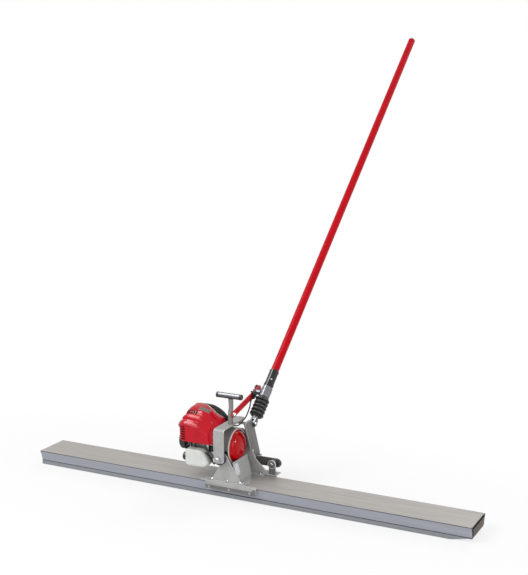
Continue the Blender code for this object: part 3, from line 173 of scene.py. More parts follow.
@dataclass(frozen=True)
class Finish:
    """A real material with its colour, gloss and fine surface marks."""

    name: str
    slot: str
    colour: str
    shade: str
    roughness: float
    grain_mm: float
    relief_mm: float
    drift_mm: float
    metallic: float = 0.0
    spread: float = 0.05
    specular: float = 0.5
    grain: Grain = Grain.EVEN

    def material(self) -> bpy.types.Material:
        """Builds the procedural material once and returns it.

        Returns:
            The material, with its colour drifting to the shade, its gloss varied
            and its relief raised by noise of the finish's own grain size.
        """
        known = bpy.data.materials.get(self.name)
        if known is not None:
            return known
        material = bpy.data.materials.new(self.name)
        material.use_nodes = True
        tree = material.node_tree
        shader = tree.nodes["Principled BSDF"]
        shader.inputs["Metallic"].default_value = self.metallic
        shader.inputs["Specular IOR Level"].default_value = self.specular
        place = add_node(tree, "ShaderNodeTexCoord").outputs["Object"]
        mapped = add_node(tree, "ShaderNodeMapping", {"Scale": self.grain.value}, {"Vector": place})
        across = {"Vector": mapped.outputs["Vector"]}
        coarse = {"Scale": MM_PER_M / self.drift_mm, "Detail": 4.0, "Roughness": 0.6}
        drift = add_node(tree, "ShaderNodeTexNoise", coarse, across)
        fine = {"Scale": MM_PER_M / self.grain_mm, "Detail": 3.0}
        grain = add_node(tree, "ShaderNodeTexNoise", fine, across).outputs["Fac"]
        reach = {"From Min": 0.35, "From Max": 0.7}
        share = add_node(tree, "ShaderNodeMapRange", reach, {"Value": drift.outputs["Fac"]})
        colours = {"data_type": "RGBA", 6: linear(self.colour), 7: linear(self.shade)}
        tint = add_node(tree, "ShaderNodeMix", colours, {0: share.outputs["Result"]})
        reach = {
            "From Min": 0.3,
            "From Max": 0.7,
            "To Min": max(self.roughness - self.spread, SMOOTHEST),
            "To Max": min(self.roughness + self.spread, 1.0),
        }
        gloss = add_node(tree, "ShaderNodeMapRange", reach, {"Value": grain})
        depth = {"Strength": 0.6, "Distance": self.relief_mm / MM_PER_M}
        bump = add_node(tree, "ShaderNodeBump", depth, {"Height": grain})
        tree.links.new(tint.outputs[2], shader.inputs["Base Color"])
        tree.links.new(gloss.outputs["Result"], shader.inputs["Roughness"])
        tree.links.new(bump.outputs["Normal"], shader.inputs["Normal"])
        return material


# Extruded aluminium, left as it came from the die: dull warm grey with long faint streaks.
MILL_TOP = Finish(
    "extruded_aluminium_top", "blade_aluminium", "#ABA7A3", "#9A9692",
    roughness=0.5, spread=0.08, metallic=0.35, specular=0.3, grain_mm=2.0, relief_mm=0.02, drift_mm=9.0,
    grain=Grain.ALONG_BLADE,
)
# The same extrusion polished by the die: smoother, and slightly blue as a painted reflection.
MILL_FACE = Finish(
    "extruded_aluminium_face", "blade_aluminium", "#A4A7B0", "#9A9DA6",
    roughness=0.4, metallic=0.3, specular=0.3, grain_mm=2.0, relief_mm=0.008, drift_mm=30.0,
    grain=Grain.ALONG_BLADE,
)
# The lip under the faces, darker than the faces.
MILL_LIP = Finish(
    "extruded_aluminium_lip", "blade_aluminium", "#8C8F94", "#84878C",
    roughness=0.42, spread=0.06, metallic=0.3, specular=0.3, grain_mm=2.0, relief_mm=0.01, drift_mm=30.0,
    grain=Grain.ALONG_BLADE,
)
# A dark line of painted shade along the top edges and in the groove above the lip.
MILL_SHADE_LINE = Finish(
    "extruded_aluminium_shade_line", "blade_aluminium", "#55565A", "#4C4D51",
    roughness=0.45, spread=0.06, metallic=0.3, specular=0.2, grain_mm=2.0, relief_mm=0.01, drift_mm=30.0,
    grain=Grain.ALONG_BLADE,
)
# Sprayed grey enamel on steel plate: satin, with the faint dimples of orange peel.
GREY_ENAMEL = Finish(
    "grey_enamel", "grey_paint", "#A8A8A7", "#999998",
    roughness=0.42, spread=0.06, specular=0.35, grain_mm=3.0, relief_mm=0.03, drift_mm=40.0,
)
# The grey enamel darkened as painted shade, on the rails' legs and the pole's bracket.
GREY_PAINTED_SHADE = Finish(
    "grey_enamel_painted_shade", "grey_paint", "#737270", "#696866",
    roughness=0.45, spread=0.06, specular=0.3, grain_mm=3.0, relief_mm=0.03, drift_mm=40.0,
)
# The enamel on rims: paler and a little glossier where it thins over an edge, and partly a painted highlight.
GREY_EDGE = Finish(
    "grey_enamel_edge", "grey_paint", "#D2D3D1", "#C0C1BF",
    roughness=0.32, spread=0.06, metallic=0.15, grain_mm=2.0, relief_mm=0.02, drift_mm=12.0,
)
# Darker enamel on the drum.
DRUM_ENAMEL = Finish(
    "drum_enamel", "drum_paint", "#838280", "#797876",
    roughness=0.38, spread=0.06, specular=0.35, grain_mm=3.0, relief_mm=0.03, drift_mm=40.0,
)
# Zinc plate on fasteners: slightly blue, faintly spangled.
ZINC_PLATE = Finish(
    "zinc_plate", "zinc", "#B4B8BA", "#9CA1A4",
    roughness=0.28, spread=0.08, metallic=1.0, grain_mm=1.2, relief_mm=0.01, drift_mm=6.0,
)
# Chromed steel dulled by use.
CHROME_PLATE = Finish(
    "dulled_chrome_plate", "chrome", "#6A6B6F", "#5E5F63",
    roughness=0.33, spread=0.03, metallic=1.0, grain_mm=4.0, relief_mm=0.004, drift_mm=30.0,
)
# Plain machined steel inside the machine.
MACHINED_STEEL = Finish(
    "machined_steel", "steel", "#98999A", "#838485",
    roughness=0.34, spread=0.08, metallic=1.0, grain_mm=0.8, relief_mm=0.01, drift_mm=14.0,
)
# Die-cast alloy: matt and softly pitted.
DIE_CAST = Finish(
    "die_cast_alloy", "cast_alloy", "#A3A29D", "#8E8D87",
    roughness=0.45, spread=0.1, metallic=0.8, grain_mm=1.6, relief_mm=0.06, drift_mm=10.0,
)
# The collar's darker casting, tumbled smooth.
COLLAR_CAST = Finish(
    "tumbled_casting", "cast_alloy", "#7C7C82", "#6E6E74",
    roughness=0.3, spread=0.06, metallic=0.35, grain_mm=1.6, relief_mm=0.02, drift_mm=10.0,
)
# Glossy red moulded cover of the engine.
RED_COVER = Finish(
    "red_moulded_cover", "red_cover", "#C20A22", "#B4081C",
    roughness=0.12, spread=0.03, specular=0.22, grain_mm=6.0, relief_mm=0.004, drift_mm=60.0,
)
# Glossy red enamel on the spun dome.
RED_DOME = Finish(
    "red_dome_enamel", "red_dome", "#BC020B", "#AC0007",
    roughness=0.15, spread=0.03, specular=0.18, grain_mm=6.0, relief_mm=0.004, drift_mm=50.0,
)
# Red powder coat of the link arm, fuller and more satin.
RED_ARM = Finish(
    "red_powder_coat", "red_bar", "#D4222F", "#C81C29",
    roughness=0.4, specular=0.25, grain_mm=4.0, relief_mm=0.012, drift_mm=30.0,
)
# The link arm's rims in darker red: painted shade.
RED_ARM_EDGE_SHADE = Finish(
    "red_powder_coat_edge_shade", "red_bar", "#B01520", "#A0101A",
    roughness=0.4, specular=0.25, grain_mm=4.0, relief_mm=0.012, drift_mm=30.0,
)
# Red enamel on the pole's tube.
RED_TUBE = Finish(
    "red_tube_enamel", "red_tube", "#C40A1C", "#B80818",
    roughness=0.3, specular=0.08, grain_mm=5.0, relief_mm=0.01, drift_mm=90.0,
)
# Black moulded nylon with a fine spark-eroded skin.
BLACK_NYLON = Finish(
    "black_nylon", "black_plastic", "#19191A", "#212122",
    roughness=0.34, spread=0.06, grain_mm=0.9, relief_mm=0.03, drift_mm=20.0,
)
# The same nylon rubbed smooth by hands, on the pole's sleeve.
SLEEVE_NYLON = Finish(
    "rubbed_black_nylon", "black_plastic", "#131314", "#19191A",
    roughness=0.22, spread=0.06, specular=0.42, grain_mm=0.9, relief_mm=0.01, drift_mm=20.0,
)
# The same nylon polished in the mould, on the engine's rear cowl.
COWL_NYLON = Finish(
    "black_nylon_polished", "black_plastic", "#0E0E0F", "#151516",
    roughness=0.3, specular=0.03, grain_mm=3.0, relief_mm=0.01, drift_mm=30.0,
)
# Black moulded rubber: matt.
BLACK_RUBBER = Finish(
    "black_rubber_moulding", "black_rubber", "#18181A", "#202023",
    roughness=0.38, spread=0.08, grain_mm=1.4, relief_mm=0.03, drift_mm=12.0,
)
# Black gloss paint on steel bar.
BLACK_ENAMEL = Finish(
    "black_enamel", "black_paint", "#343433", "#3C3C3B",
    roughness=0.34, spread=0.06, grain_mm=2.5, relief_mm=0.03, drift_mm=30.0,
)
# Dark grey moulded plastic of the end caps.
DARK_PLASTIC = Finish(
    "dark_grey_plastic", "dark_plastic", "#524E49", "#474440",
    roughness=0.46, spread=0.08, specular=0.35, grain_mm=1.1, relief_mm=0.05, drift_mm=25.0,
)
# Ribbed grey insert on the engine's crown, with a warm red cast that is a painted reflection of the cover
# around it.
CROWN_PLASTIC = Finish(
    "grey_insert_plastic", "dark_plastic", "#83726F", "#6B5B59",
    roughness=0.5, spread=0.08, specular=0.2, grain_mm=2.0, relief_mm=0.1, drift_mm=4.0,
)
# Black paint dulled by a film of dry cement.
DUSTY_ENAMEL = Finish(
    "dusty_black_enamel", "black_paint", "#5C5B58", "#4F4E4B",
    roughness=0.6, spread=0.08, specular=0.2, grain_mm=3.0, relief_mm=0.05, drift_mm=30.0,
)
# Coarse-grained plastic plate on the blade's ends, browned by use.
CAP_PLASTIC = Finish(
    "grained_plastic", "dark_plastic", "#6B6259", "#463F38",
    roughness=0.6, spread=0.1, specular=0.2, grain_mm=2.2, relief_mm=0.25, drift_mm=3.0,
)
# Natural moulded polyethylene of the fuel tank: milky, waxy white.
TANK_PLASTIC = Finish(
    "natural_polyethylene", "tank_plastic", "#D6D8D4", "#C8CAC4",
    roughness=0.36, spread=0.06, specular=0.35, grain_mm=3.0, relief_mm=0.05, drift_mm=35.0,
)
# Bare aluminium foil plate.
BARE_PLATE = Finish(
    "bare_foil_plate", "zinc", "#DADCDE", "#CDCFD1",
    roughness=0.4, metallic=0.1, grain_mm=1.0, relief_mm=0.01, drift_mm=8.0,
)


def arc(centre: Flat, radius: float, start: float, end: float, steps: int = 8) -> Outline:
    """Returns points on an arc.

    Args:
        centre: the arc's middle.
        radius: its radius.
        start: the first angle in degrees.
        end: the last angle in degrees.
        steps: the number of straight steps.

    Returns:
        The points, both ends included.
    """
    points = []
    for i in range(steps + 1):
        angle = math.radians(start + (end - start) * i / steps)
        points.append((centre[0] + radius * math.cos(angle), centre[1] + radius * math.sin(angle)))
    return points


def flipped(points: Outline) -> Outline:
    """Returns points with their two values swapped, to use an arc in a turned profile."""
    return [(second, first) for first, second in points]


def rectangle(low: Flat, high: Flat) -> Outline:
    """Returns the four corners of a rectangle."""
    return [low, (high[0], low[1]), high, (low[0], high[1])]


def circle(count: int) -> List[float]:
    """Returns evenly spread angles round a whole turn, in radians."""
    return [2 * math.pi * i / count for i in range(count)]


def rounding(radius: float, steps: int) -> Outline:
    """Returns (inset, depth) points of a rounded rim, from its face to its side."""
    quarter = [math.pi / 2 * k / steps for k in range(steps + 1)]
    return [(radius * (1 - math.sin(angle)), radius * (1 - math.cos(angle))) for angle in quarter]


def bent(first: Vector, pull: Vector, last: Vector, steps: int) -> Outline:
    """Returns a bend between two points.

    Args:
        first: where it starts.
        pull: the corner that it rounds.
        last: where it ends.
        steps: the number of straight steps.

    Returns:
        The points, both ends included.
    """
    points = []
    for k in range(steps + 1):
        t = k / steps
        place = first * (1 - t) ** 2 + pull * (2 * t * (1 - t)) + last * t ** 2
        points.append((place.x, place.y))
    return points


def eased(outline: Outline, radius: float, steps: int = 4) -> Outline:
    """Rounds every corner of a closed outline.

    Args:
        outline: the corners in order.
        radius: how far from a corner its curve starts.
        steps: the number of steps in each curve.

    Returns:
        The rounded outline.
    """
    points = []
    count = len(outline)
    for i, corner in enumerate(outline):
        here = Vector(corner)
        before = Vector(outline[i - 1]) - here
        after = Vector(outline[(i + 1) % count]) - here
        reach = min(radius, 0.45 * before.length, 0.45 * after.length)
        points += bent(here + before.normalized() * reach, here, here + after.normalized() * reach, steps)
    return points


def drawn_in(outline: Outline, inset: float) -> Outline:
    """Draws a closed outline in by a distance, with mitred corners.

    Args:
        outline: the points in order, either way round.
        inset: the distance, positive to the inside.

    Returns:
        As many points as the outline has.
    """
    count = len(outline)
    area = 0.0
    for i in range(count):
        here, after = outline[i], outline[(i + 1) % count]
        area += here[0] * after[1] - after[0] * here[1]
    turn = 1.0 if area > 0 else -1.0
    points = []
    for i in range(count):
        here = Vector(outline[i])
        into = (here - Vector(outline[i - 1])).normalized()
        out = (Vector(outline[(i + 1) % count]) - here).normalized()
        middle = into + out
        middle = middle.normalized() if middle.length > 1e-6 else out
        normal = Vector((-middle.y, middle.x)) * turn
        stretch = 1 / max(middle.dot(out), 0.4)
        place = here + normal * (inset * stretch)
        points.append((place.x, place.y))
    return points


def smooth_path(guide: Sequence[Vector], steps: int) -> Loop:
    """Runs a Catmull-Rom curve through guide points.

    Args:
        guide: the points to pass through.
        steps: the steps between two of them.

    Returns:
        The points of the curve.
    """
    points = []
    last = len(guide) - 1
    for index in range(last):
        p0, p1 = guide[max(index - 1, 0)], guide[index]
        p2, p3 = guide[index + 1], guide[min(index + 2, last)]
        for step in range(steps):
            t = step / steps
            first = p1 * 2 + (p2 - p0) * t
            second = (p0 * 2 - p1 * 5 + p2 * 4 - p3) * t * t
            third = (p1 * 3 - p0 - p2 * 3 + p3) * t * t * t
            points.append((first + second + third) * 0.5)
    points.append(guide[-1].copy())
    return points


class Plane(Enum):
    """Planes for outlines: which of (first, second, depth) gives X, Y and Z."""

    YZ = (2, 0, 1)
    XZ = (0, 2, 1)
    XY = (0, 1, 2)

    def point(self, first: float, second: float, depth: float) -> Vector:
        """Places a point of the plane at a depth along its normal axis."""
        values = (first, second, depth)
        return Vector([values[i] for i in self.value])


class Shape:
    """One or more skins under construction, in the frame's metres."""

    def __init__(self) -> None:
        """Starts an empty shape."""
        self.work = bmesh.new()

    def skin(self, loops: Sequence[Loop], rims: Sequence[int] = (), capped: bool = True) -> "Shape":
        """Skins closed loops of one point count.

        Args:
            loops: the loops in order.
            rims: the rings between loops that take the edge finish.
            capped: whether the first and last loops are filled.

        Returns:
            This shape.
        """
        rows = [[self.work.verts.new(point) for point in loop] for loop in loops]
        count = len(rows[0])
        for ring in range(len(rows) - 1):
            for i in range(count):
                j = (i + 1) % count
                corners = (rows[ring][i], rows[ring][j], rows[ring + 1][j], rows[ring + 1][i])
                face = self.work.faces.new(corners)
                face.material_index = 1 if ring in rims else 0
        if capped:
            self.work.faces.new(rows[0][::-1])
            self.work.faces.new(rows[-1])
        return self

    def plate(
        self,
        outline: Outline,
        plane: Plane,
        low: float,
        high: float,
        rim: float = RIM,
        tray: Optional[Flat] = None,
    ) -> "Shape":
        """Makes a plate with rounded rims.

        Args:
            outline: the plate's outline in its plane.
            plane: the plane.
            low: the depth of its first face.
            high: the depth of its second face.
            rim: the radius of its rims.
            tray: the inset and depth of a shallow tray in the second face, if any.

        Returns:
            This shape.
        """
        steps = 3
        side = rounding(rim, steps)
        levels = [(inset, low + depth) for inset, depth in side]
        levels += [(inset, high - depth) for inset, depth in reversed(side)]
        if tray is not None:
            inset, sunk = tray
            levels += [(inset, high), (inset + rim, high - sunk)]
        loops = []
        for inset, depth in levels:
            loops.append([plane.point(u, v, depth) for u, v in drawn_in(outline, inset)])
        rims = [ring for ring in range(2 * steps + 1) if ring != steps]
        return self.skin(loops, rims)

    def block(self, low: Vector, high: Vector, ease: float, rim: float = RIM) -> "Shape":
        """Makes an upright block with eased corners.

        Args:
            low: its lowest corner.
            high: its highest corner.
            ease: the rounding of its upright edges.
            rim: the rounding of its other edges.

        Returns:
            This shape.
        """
        corners = rectangle((low.x, low.y), (high.x, high.y))
        return self.plate(eased(corners, ease), Plane.XY, low.z, high.z, rim)

    def turned(
        self, profile: Sequence[Flat], origin: Vector, axis: Vector, steps: int = 64, rims: Sequence[int] = ()
    ) -> "Shape":
        """Turns a profile round an axis.

        Args:
            profile: (radius, distance) points. It closes on itself, and a point of
                radius zero is one vertex on the axis.
            origin: where the distance is zero.
            axis: the unit axis.
            steps: the number of steps round it.
            rims: the runs of the profile that take the edge finish.

        Returns:
            This shape.
        """
        helper = X_AXIS if abs(axis.x) < 0.9 else Y_AXIS
        first = axis.cross(helper).normalized()
        second = axis.cross(first)
        rows = []
        for radius, along in profile:
            middle = origin + axis * along
            if radius <= 0:
                rows.append([self.work.verts.new(middle)])
                continue
            round_it = [first * math.cos(angle) + second * math.sin(angle) for angle in circle(steps)]
            rows.append([self.work.verts.new(middle + out * radius) for out in round_it])
        for index, row in enumerate(rows):
            after = rows[(index + 1) % len(rows)]
            if len(row) == 1 and len(after) == 1:
                continue
            for i in range(steps):
                j = (i + 1) % steps
                if len(row) == 1:
                    corners = (row[0], after[j], after[i])
                elif len(after) == 1:
                    corners = (row[i], row[j], after[0])
                else:
                    corners = (row[i], row[j], after[j], after[i])
                face = self.work.faces.new(corners)
                face.material_index = 1 if index in rims else 0
        return self

    def tube(self, path: Sequence[Vector], radius: float, sides: int = 14) -> "Shape":
        """Sweeps a round section along a path.

        Args:
            path: the points of the centre line.
            radius: the section's radius.
            sides: the section's number of sides.

        Returns:
            This shape.
        """
        loops = []
        side = Vector((0.3, 0.5, 0.81)).normalized()
        for index, point in enumerate(path):
            before = path[max(index - 1, 0)]
            after = path[min(index + 1, len(path) - 1)]
            axis = (after - before).normalized()
            side = (side - axis * side.dot(axis)).normalized()
            other = axis.cross(side)
            round_it = [side * math.cos(angle) + other * math.sin(angle) for angle in circle(sides)]
            loops.append([point + out * radius for out in round_it])
        return self.skin(loops)

    def to_object(self, name: str, *finishes: Finish, crease: float = CREASE) -> bpy.types.Object:
        """Turns the shape into an object with its finishes.

        Args:
            name: the object's name.
            finishes: the main finish, and the edge finish where there is one.
            crease: the angle in degrees from which an edge is shaded sharp.

        Returns:
            The object, linked to the scene.
        """
        bmesh.ops.remove_doubles(self.work, verts=self.work.verts, dist=1e-7)
        bmesh.ops.recalc_face_normals(self.work, faces=self.work.faces)
        mesh = bpy.data.meshes.new(name)
        self.work.to_mesh(mesh)
        self.work.free()
        for finish in finishes:
            mesh.materials.append(finish.material())
        obj = add_object(name, mesh)
        shade(obj, crease)
        return obj

    def piece(
        self,
        name: str,
        *nodes: str,
        finish: Finish,
        edge: Optional[Finish] = None,
        body: str = BASE,
        crease: float = CREASE,
    ) -> bpy.types.Object:
        """Turns the shape into a piece in its finish and settles it.

        Args:
            name: the piece's name.
            nodes: the nodes that it stands for.
            finish: its main finish.
            edge: the finish of its rims, where it has any.
            body: the body that it rides on.
            crease: the angle in degrees from which an edge is shaded sharp.

        Returns:
            The piece.
        """
        finishes = (finish, edge) if edge else (finish,)
        return settle(self.to_object(name, *finishes, crease=crease), body, finish.slot, *nodes)


def shade(obj: bpy.types.Object, crease: float = CREASE) -> None:
    """Shades an object smooth apart from its creases.

    Args:
        obj: the mesh object.
        crease: the angle in degrees from which an edge is sharp.
    """
    obj.data.shade_smooth()
    obj.data.set_sharp_from_angle(angle=math.radians(crease))


def bake(obj: bpy.types.Object) -> bpy.types.Object:
    """Turns an object with modifiers into a plain mesh.

    Args:
        obj: the object.

    Returns:
        The same object, with the evaluated mesh and no modifiers.
    """
    bpy.context.view_layer.update()
    graph = bpy.context.evaluated_depsgraph_get()
    mesh = bpy.data.meshes.new_from_object(obj.evaluated_get(graph), depsgraph=graph)
    obj.modifiers.clear()
    obj.data = mesh
    mesh.name = obj.name
    return obj


def skin_of(obj: bpy.types.Object) -> BVHTree:
    """Returns a plain mesh's surface, to seat small parts on."""
    mesh = obj.data
    return BVHTree.FromPolygons([v.co for v in mesh.vertices], [p.vertices[:] for p in mesh.polygons])


def seat(skin: BVHTree, point: Vector, inward: Vector) -> Tuple[Vector, Vector]:
    """Drops a point on a surface.

    Args:
        skin: the surface.
        point: a point near it.
        inward: the direction to drop in.

    Returns:
        The place on the surface and its outward normal there.
    """
    aim = inward.normalized()
    place, normal, _, _ = skin.ray_cast(point - aim * 0.08, aim)
    if place is None:
        return point.copy(), -aim
    return place, normal if normal.dot(aim) < 0 else -normal


def pierce(obj: bpy.types.Object, spot: Vector, aim: Vector, radius: float) -> None:
    """Opens a hole in a wall by taking its faces away.

    Args:
        obj: a plain mesh object.
        spot: a point on the hole's axis, on the wall.
        aim: the axis, outwards.
        radius: the hole's radius.
    """
    work = bmesh.new()
    work.from_mesh(obj.data)
    gone = []
    for face in work.faces:
        away = face.calc_center_median() - spot
        if (away - aim * away.dot(aim)).length < radius and abs(away.dot(aim)) < 0.012:
            gone.append(face)
    bmesh.ops.delete(work, geom=gone, context="FACES")
    work.to_mesh(obj.data)
    work.free()


def settle(obj: bpy.types.Object, body: str, slot: str, *nodes: str) -> bpy.types.Object:
    """Puts a finished piece on its body and reports it.

    Args:
        obj: the piece.
        body: the body that it rides on.
        slot: the record's material slot; not used.
        nodes: the nodes that it stands for.

    Returns:
        The piece.
    """
    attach(obj, body)
    if nodes:
        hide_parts(*nodes)
    LOG.info("%s rides on %s: %d faces", obj.name, body, len(obj.data.polygons))
    return obj


def dress(finish: Finish, *nodes: str) -> None:
    """Gives nodes that keep their own shape a finish.

    Args:
        finish: the finish.
        nodes: the nodes' names.
    """
    for name in nodes:
        mesh = frame["nodes"][name].data
        mesh.materials.clear()
        mesh.materials.append(finish.material())
        LOG.info("%s keeps its shape", name)


class Repeat(Enum):
    """Small parts that one node tree each sets out many times."""

    HEX_BOLT = "hex_bolt"
    PAN_SCREW = "pan_screw"
    BAR = "bar"


@dataclass
class Place:
    """Where one copy of a repeated part sits."""

    point: Vector
    aim: Vector
    side: Vector


def start_tree(name: str, inputs: Dict[str, str]) -> Tuple[bpy.types.NodeTree, bpy.types.Node]:
    """Starts a geometry tree.

    Args:
        name: the tree's name.
        inputs: the kinds of its inputs by name, apart from Geometry and Material.

    Returns:
        The tree and its input node.
    """
    tree = bpy.data.node_groups.new(name, "GeometryNodeTree")
    for socket, kind in {"Geometry": "Geometry", **inputs, "Material": "Material"}.items():
        tree.interface.new_socket(socket, in_out="INPUT", socket_type="NodeSocket" + kind)
    tree.interface.new_socket("Geometry", in_out="OUTPUT", socket_type="NodeSocketGeometry")
    return tree, add_node(tree, "NodeGroupInput")


def end_tree(tree: bpy.types.NodeTree, start: bpy.types.Node, drawn: bpy.types.NodeSocket) -> None:
    """Ends a geometry tree with a real mesh in the given material.

    Args:
        tree: the tree.
        start: its input node.
        drawn: the socket with what was drawn.
    """
    real = add_node(tree, "GeometryNodeRealizeInstances", None, {"Geometry": drawn})
    links = {"Geometry": real.outputs["Geometry"], "Material": start.outputs["Material"]}
    painted = add_node(tree, "GeometryNodeSetMaterial", None, links)
    add_node(tree, "NodeGroupOutput", None, {"Geometry": painted.outputs["Geometry"]})


def repeat_tree(kind: Repeat) -> bpy.types.NodeTree:
    """Builds the node tree that sets out copies of a small part.

    Args:
        kind: the small part.

    Returns:
        The tree, with inputs Width, Depth, Height and Material.
    """
    known = bpy.data.node_groups.get(kind.value)
    if known is not None:
        return known
    tree, start = start_tree(kind.value, {"Width": "Float", "Depth": "Float", "Height": "Float"})

    # Each part is drawn one unit wide and high, standing on its foot.
    joined = add_node(tree, "GeometryNodeJoinGeometry")
    if kind is Repeat.BAR:
        cube = add_node(tree, "GeometryNodeMeshCube", {"Size": (1, 1, 1)})
        easing = {"Level": 2, "Edge Crease": 0.8}
        soft = add_node(tree, "GeometryNodeSubdivisionSurface", easing, {"Mesh": cube.outputs["Mesh"]})
        tree.links.new(soft.outputs[0], joined.inputs[0])
    else:
        sides = 6 if kind is Repeat.HEX_BOLT else 20
        washer = {"Vertices": 24, "Radius": 0.68, "Depth": 0.2}
        head = {"Vertices": sides, "Radius": 0.5, "Depth": 0.6}
        crown = {"Vertices": sides, "Radius Top": 0.36, "Radius Bottom": 0.5, "Depth": 0.2}
        for node_kind, sizes, rise in (
            ("GeometryNodeMeshCylinder", washer, 0.1),
            ("GeometryNodeMeshCylinder", head, 0.5),
            ("GeometryNodeMeshCone", crown, 0.8),
        ):
            solid = add_node(tree, node_kind, sizes)
            lift = {"Translation": (0, 0, rise)}
            moved = add_node(tree, "GeometryNodeTransform", lift, {"Geometry": solid.outputs["Mesh"]})
            tree.links.new(moved.outputs["Geometry"], joined.inputs[0])
    aims = {}
    for name in ("aim", "side"):
        wanted = {"data_type": "FLOAT_VECTOR", "Name": name}
        aims[name] = add_node(tree, "GeometryNodeInputNamedAttribute", wanted).outputs["Attribute"]
    align = "FunctionNodeAlignRotationToVector"
    upright = add_node(tree, align, {"axis": "Z"}, {"Vector": aims["aim"]})
    links = {"Rotation": upright.outputs["Rotation"], "Vector": aims["side"]}
    squared = add_node(tree, align, {"axis": "X", "pivot_axis": "Z"}, links)
    sizes = {"X": start.outputs["Width"], "Y": start.outputs["Depth"], "Z": start.outputs["Height"]}
    size = add_node(tree, "ShaderNodeCombineXYZ", None, sizes)
    copies = add_node(
        tree,
        "GeometryNodeInstanceOnPoints",
        None,
        {
            "Points": start.outputs["Geometry"],
            "Instance": joined.outputs["Geometry"],
            "Rotation": squared.outputs["Rotation"],
            "Scale": size.outputs["Vector"],
        },
    )
    end_tree(tree, start, copies.outputs["Instances"])
    return tree


def run_tree(obj: bpy.types.Object, tree: bpy.types.NodeTree, values: Dict[str, Any]) -> bpy.types.Object:
    """Runs a geometry tree on an object and keeps the plain mesh.

    Args:
        obj: the object whose mesh the tree starts from.
        tree: the tree.
        values: the tree's inputs by name.

    Returns:
        The object with the result as its mesh.
    """
    change = obj.modifiers.new(tree.name, "NODES")
    change.node_group = tree
    for socket in tree.interface.items_tree:
        if socket.in_out == "INPUT" and socket.name in values:
            change[socket.identifier] = values[socket.name]
    return bake(obj)


def set_out(
    name: str,
    kind: Repeat,
    places: Sequence[Place],
    size: Size,
    finish: Finish,
    *nodes: str,
    body: str = BASE,
    slot: Optional[str] = None,
) -> None:
    """Sets out copies of a small part as one piece and settles it.

    Args:
        name: the object's name.
        kind: the small part.
        places: where each copy sits.
        size: width, depth and height of a copy.
        finish: its finish.
        nodes: the nodes that they stand for.
        body: the body that they ride on.
        slot: the record's material slot, if it isn't the finish's own.
    """
    mesh = bpy.data.meshes.new(name)
    mesh.from_pydata([place.point for place in places], [], [])
    for key in ("aim", "side"):
        layer = mesh.attributes.new(key, "FLOAT_VECTOR", "POINT")
        for index, place in enumerate(places):
            layer.data[index].vector = getattr(place, key)
    obj = add_object(name, mesh)
    values = {"Width": size[0], "Depth": size[1], "Height": size[2], "Material": finish.material()}
    run_tree(obj, repeat_tree(kind), values)
    shade(obj)
    settle(obj, body, slot or finish.slot, *nodes)


@dataclass(frozen=True)
class Lamp:
    """A square softbox, or a white card that only gloss shows."""

    name: str
    place: Vector
    aim: Vector
    size: float
    power: float
    card: bool = False

    def hang(self) -> None:
        """Hangs the lamp, turned to its aim."""
        lamp = bpy.data.lights.new(self.name, "AREA")
        lamp.shape = "SQUARE"
        lamp.size = self.size
        lamp.energy = self.power
        obj = add_object(self.name, lamp)
        obj.visible_diffuse = not self.card
        obj.location = self.place
        obj.rotation_mode = "QUATERNION"
        obj.rotation_quaternion = (self.aim - self.place).to_track_quat("-Z", "Y")


LAMPS = (
    Lamp("key_softbox", Vector((-2.6, -3.4, 4.4)), Vector((0, 0, 0.2)), size=2.6, power=150.0),
    Lamp("fill_softbox", Vector((3.6, -2.6, 2.0)), Vector((0.2, 0, 0.4)), size=2.4, power=60.0),
    Lamp("top_card", Vector((-2.1, -0.7, 4.0)), Vector((-0.15, 0, 0.3)), size=1.7, power=125.0, card=True),
    Lamp("side_card", Vector((4.0, 0.3, 1.5)), Vector((0, 0, 0.2)), size=0.5, power=45.0, card=True),
    Lamp("rim_softbox", Vector((0.8, 4.0, 3.6)), Vector((0, 0, 0.6)), size=2.4, power=50.0),
)


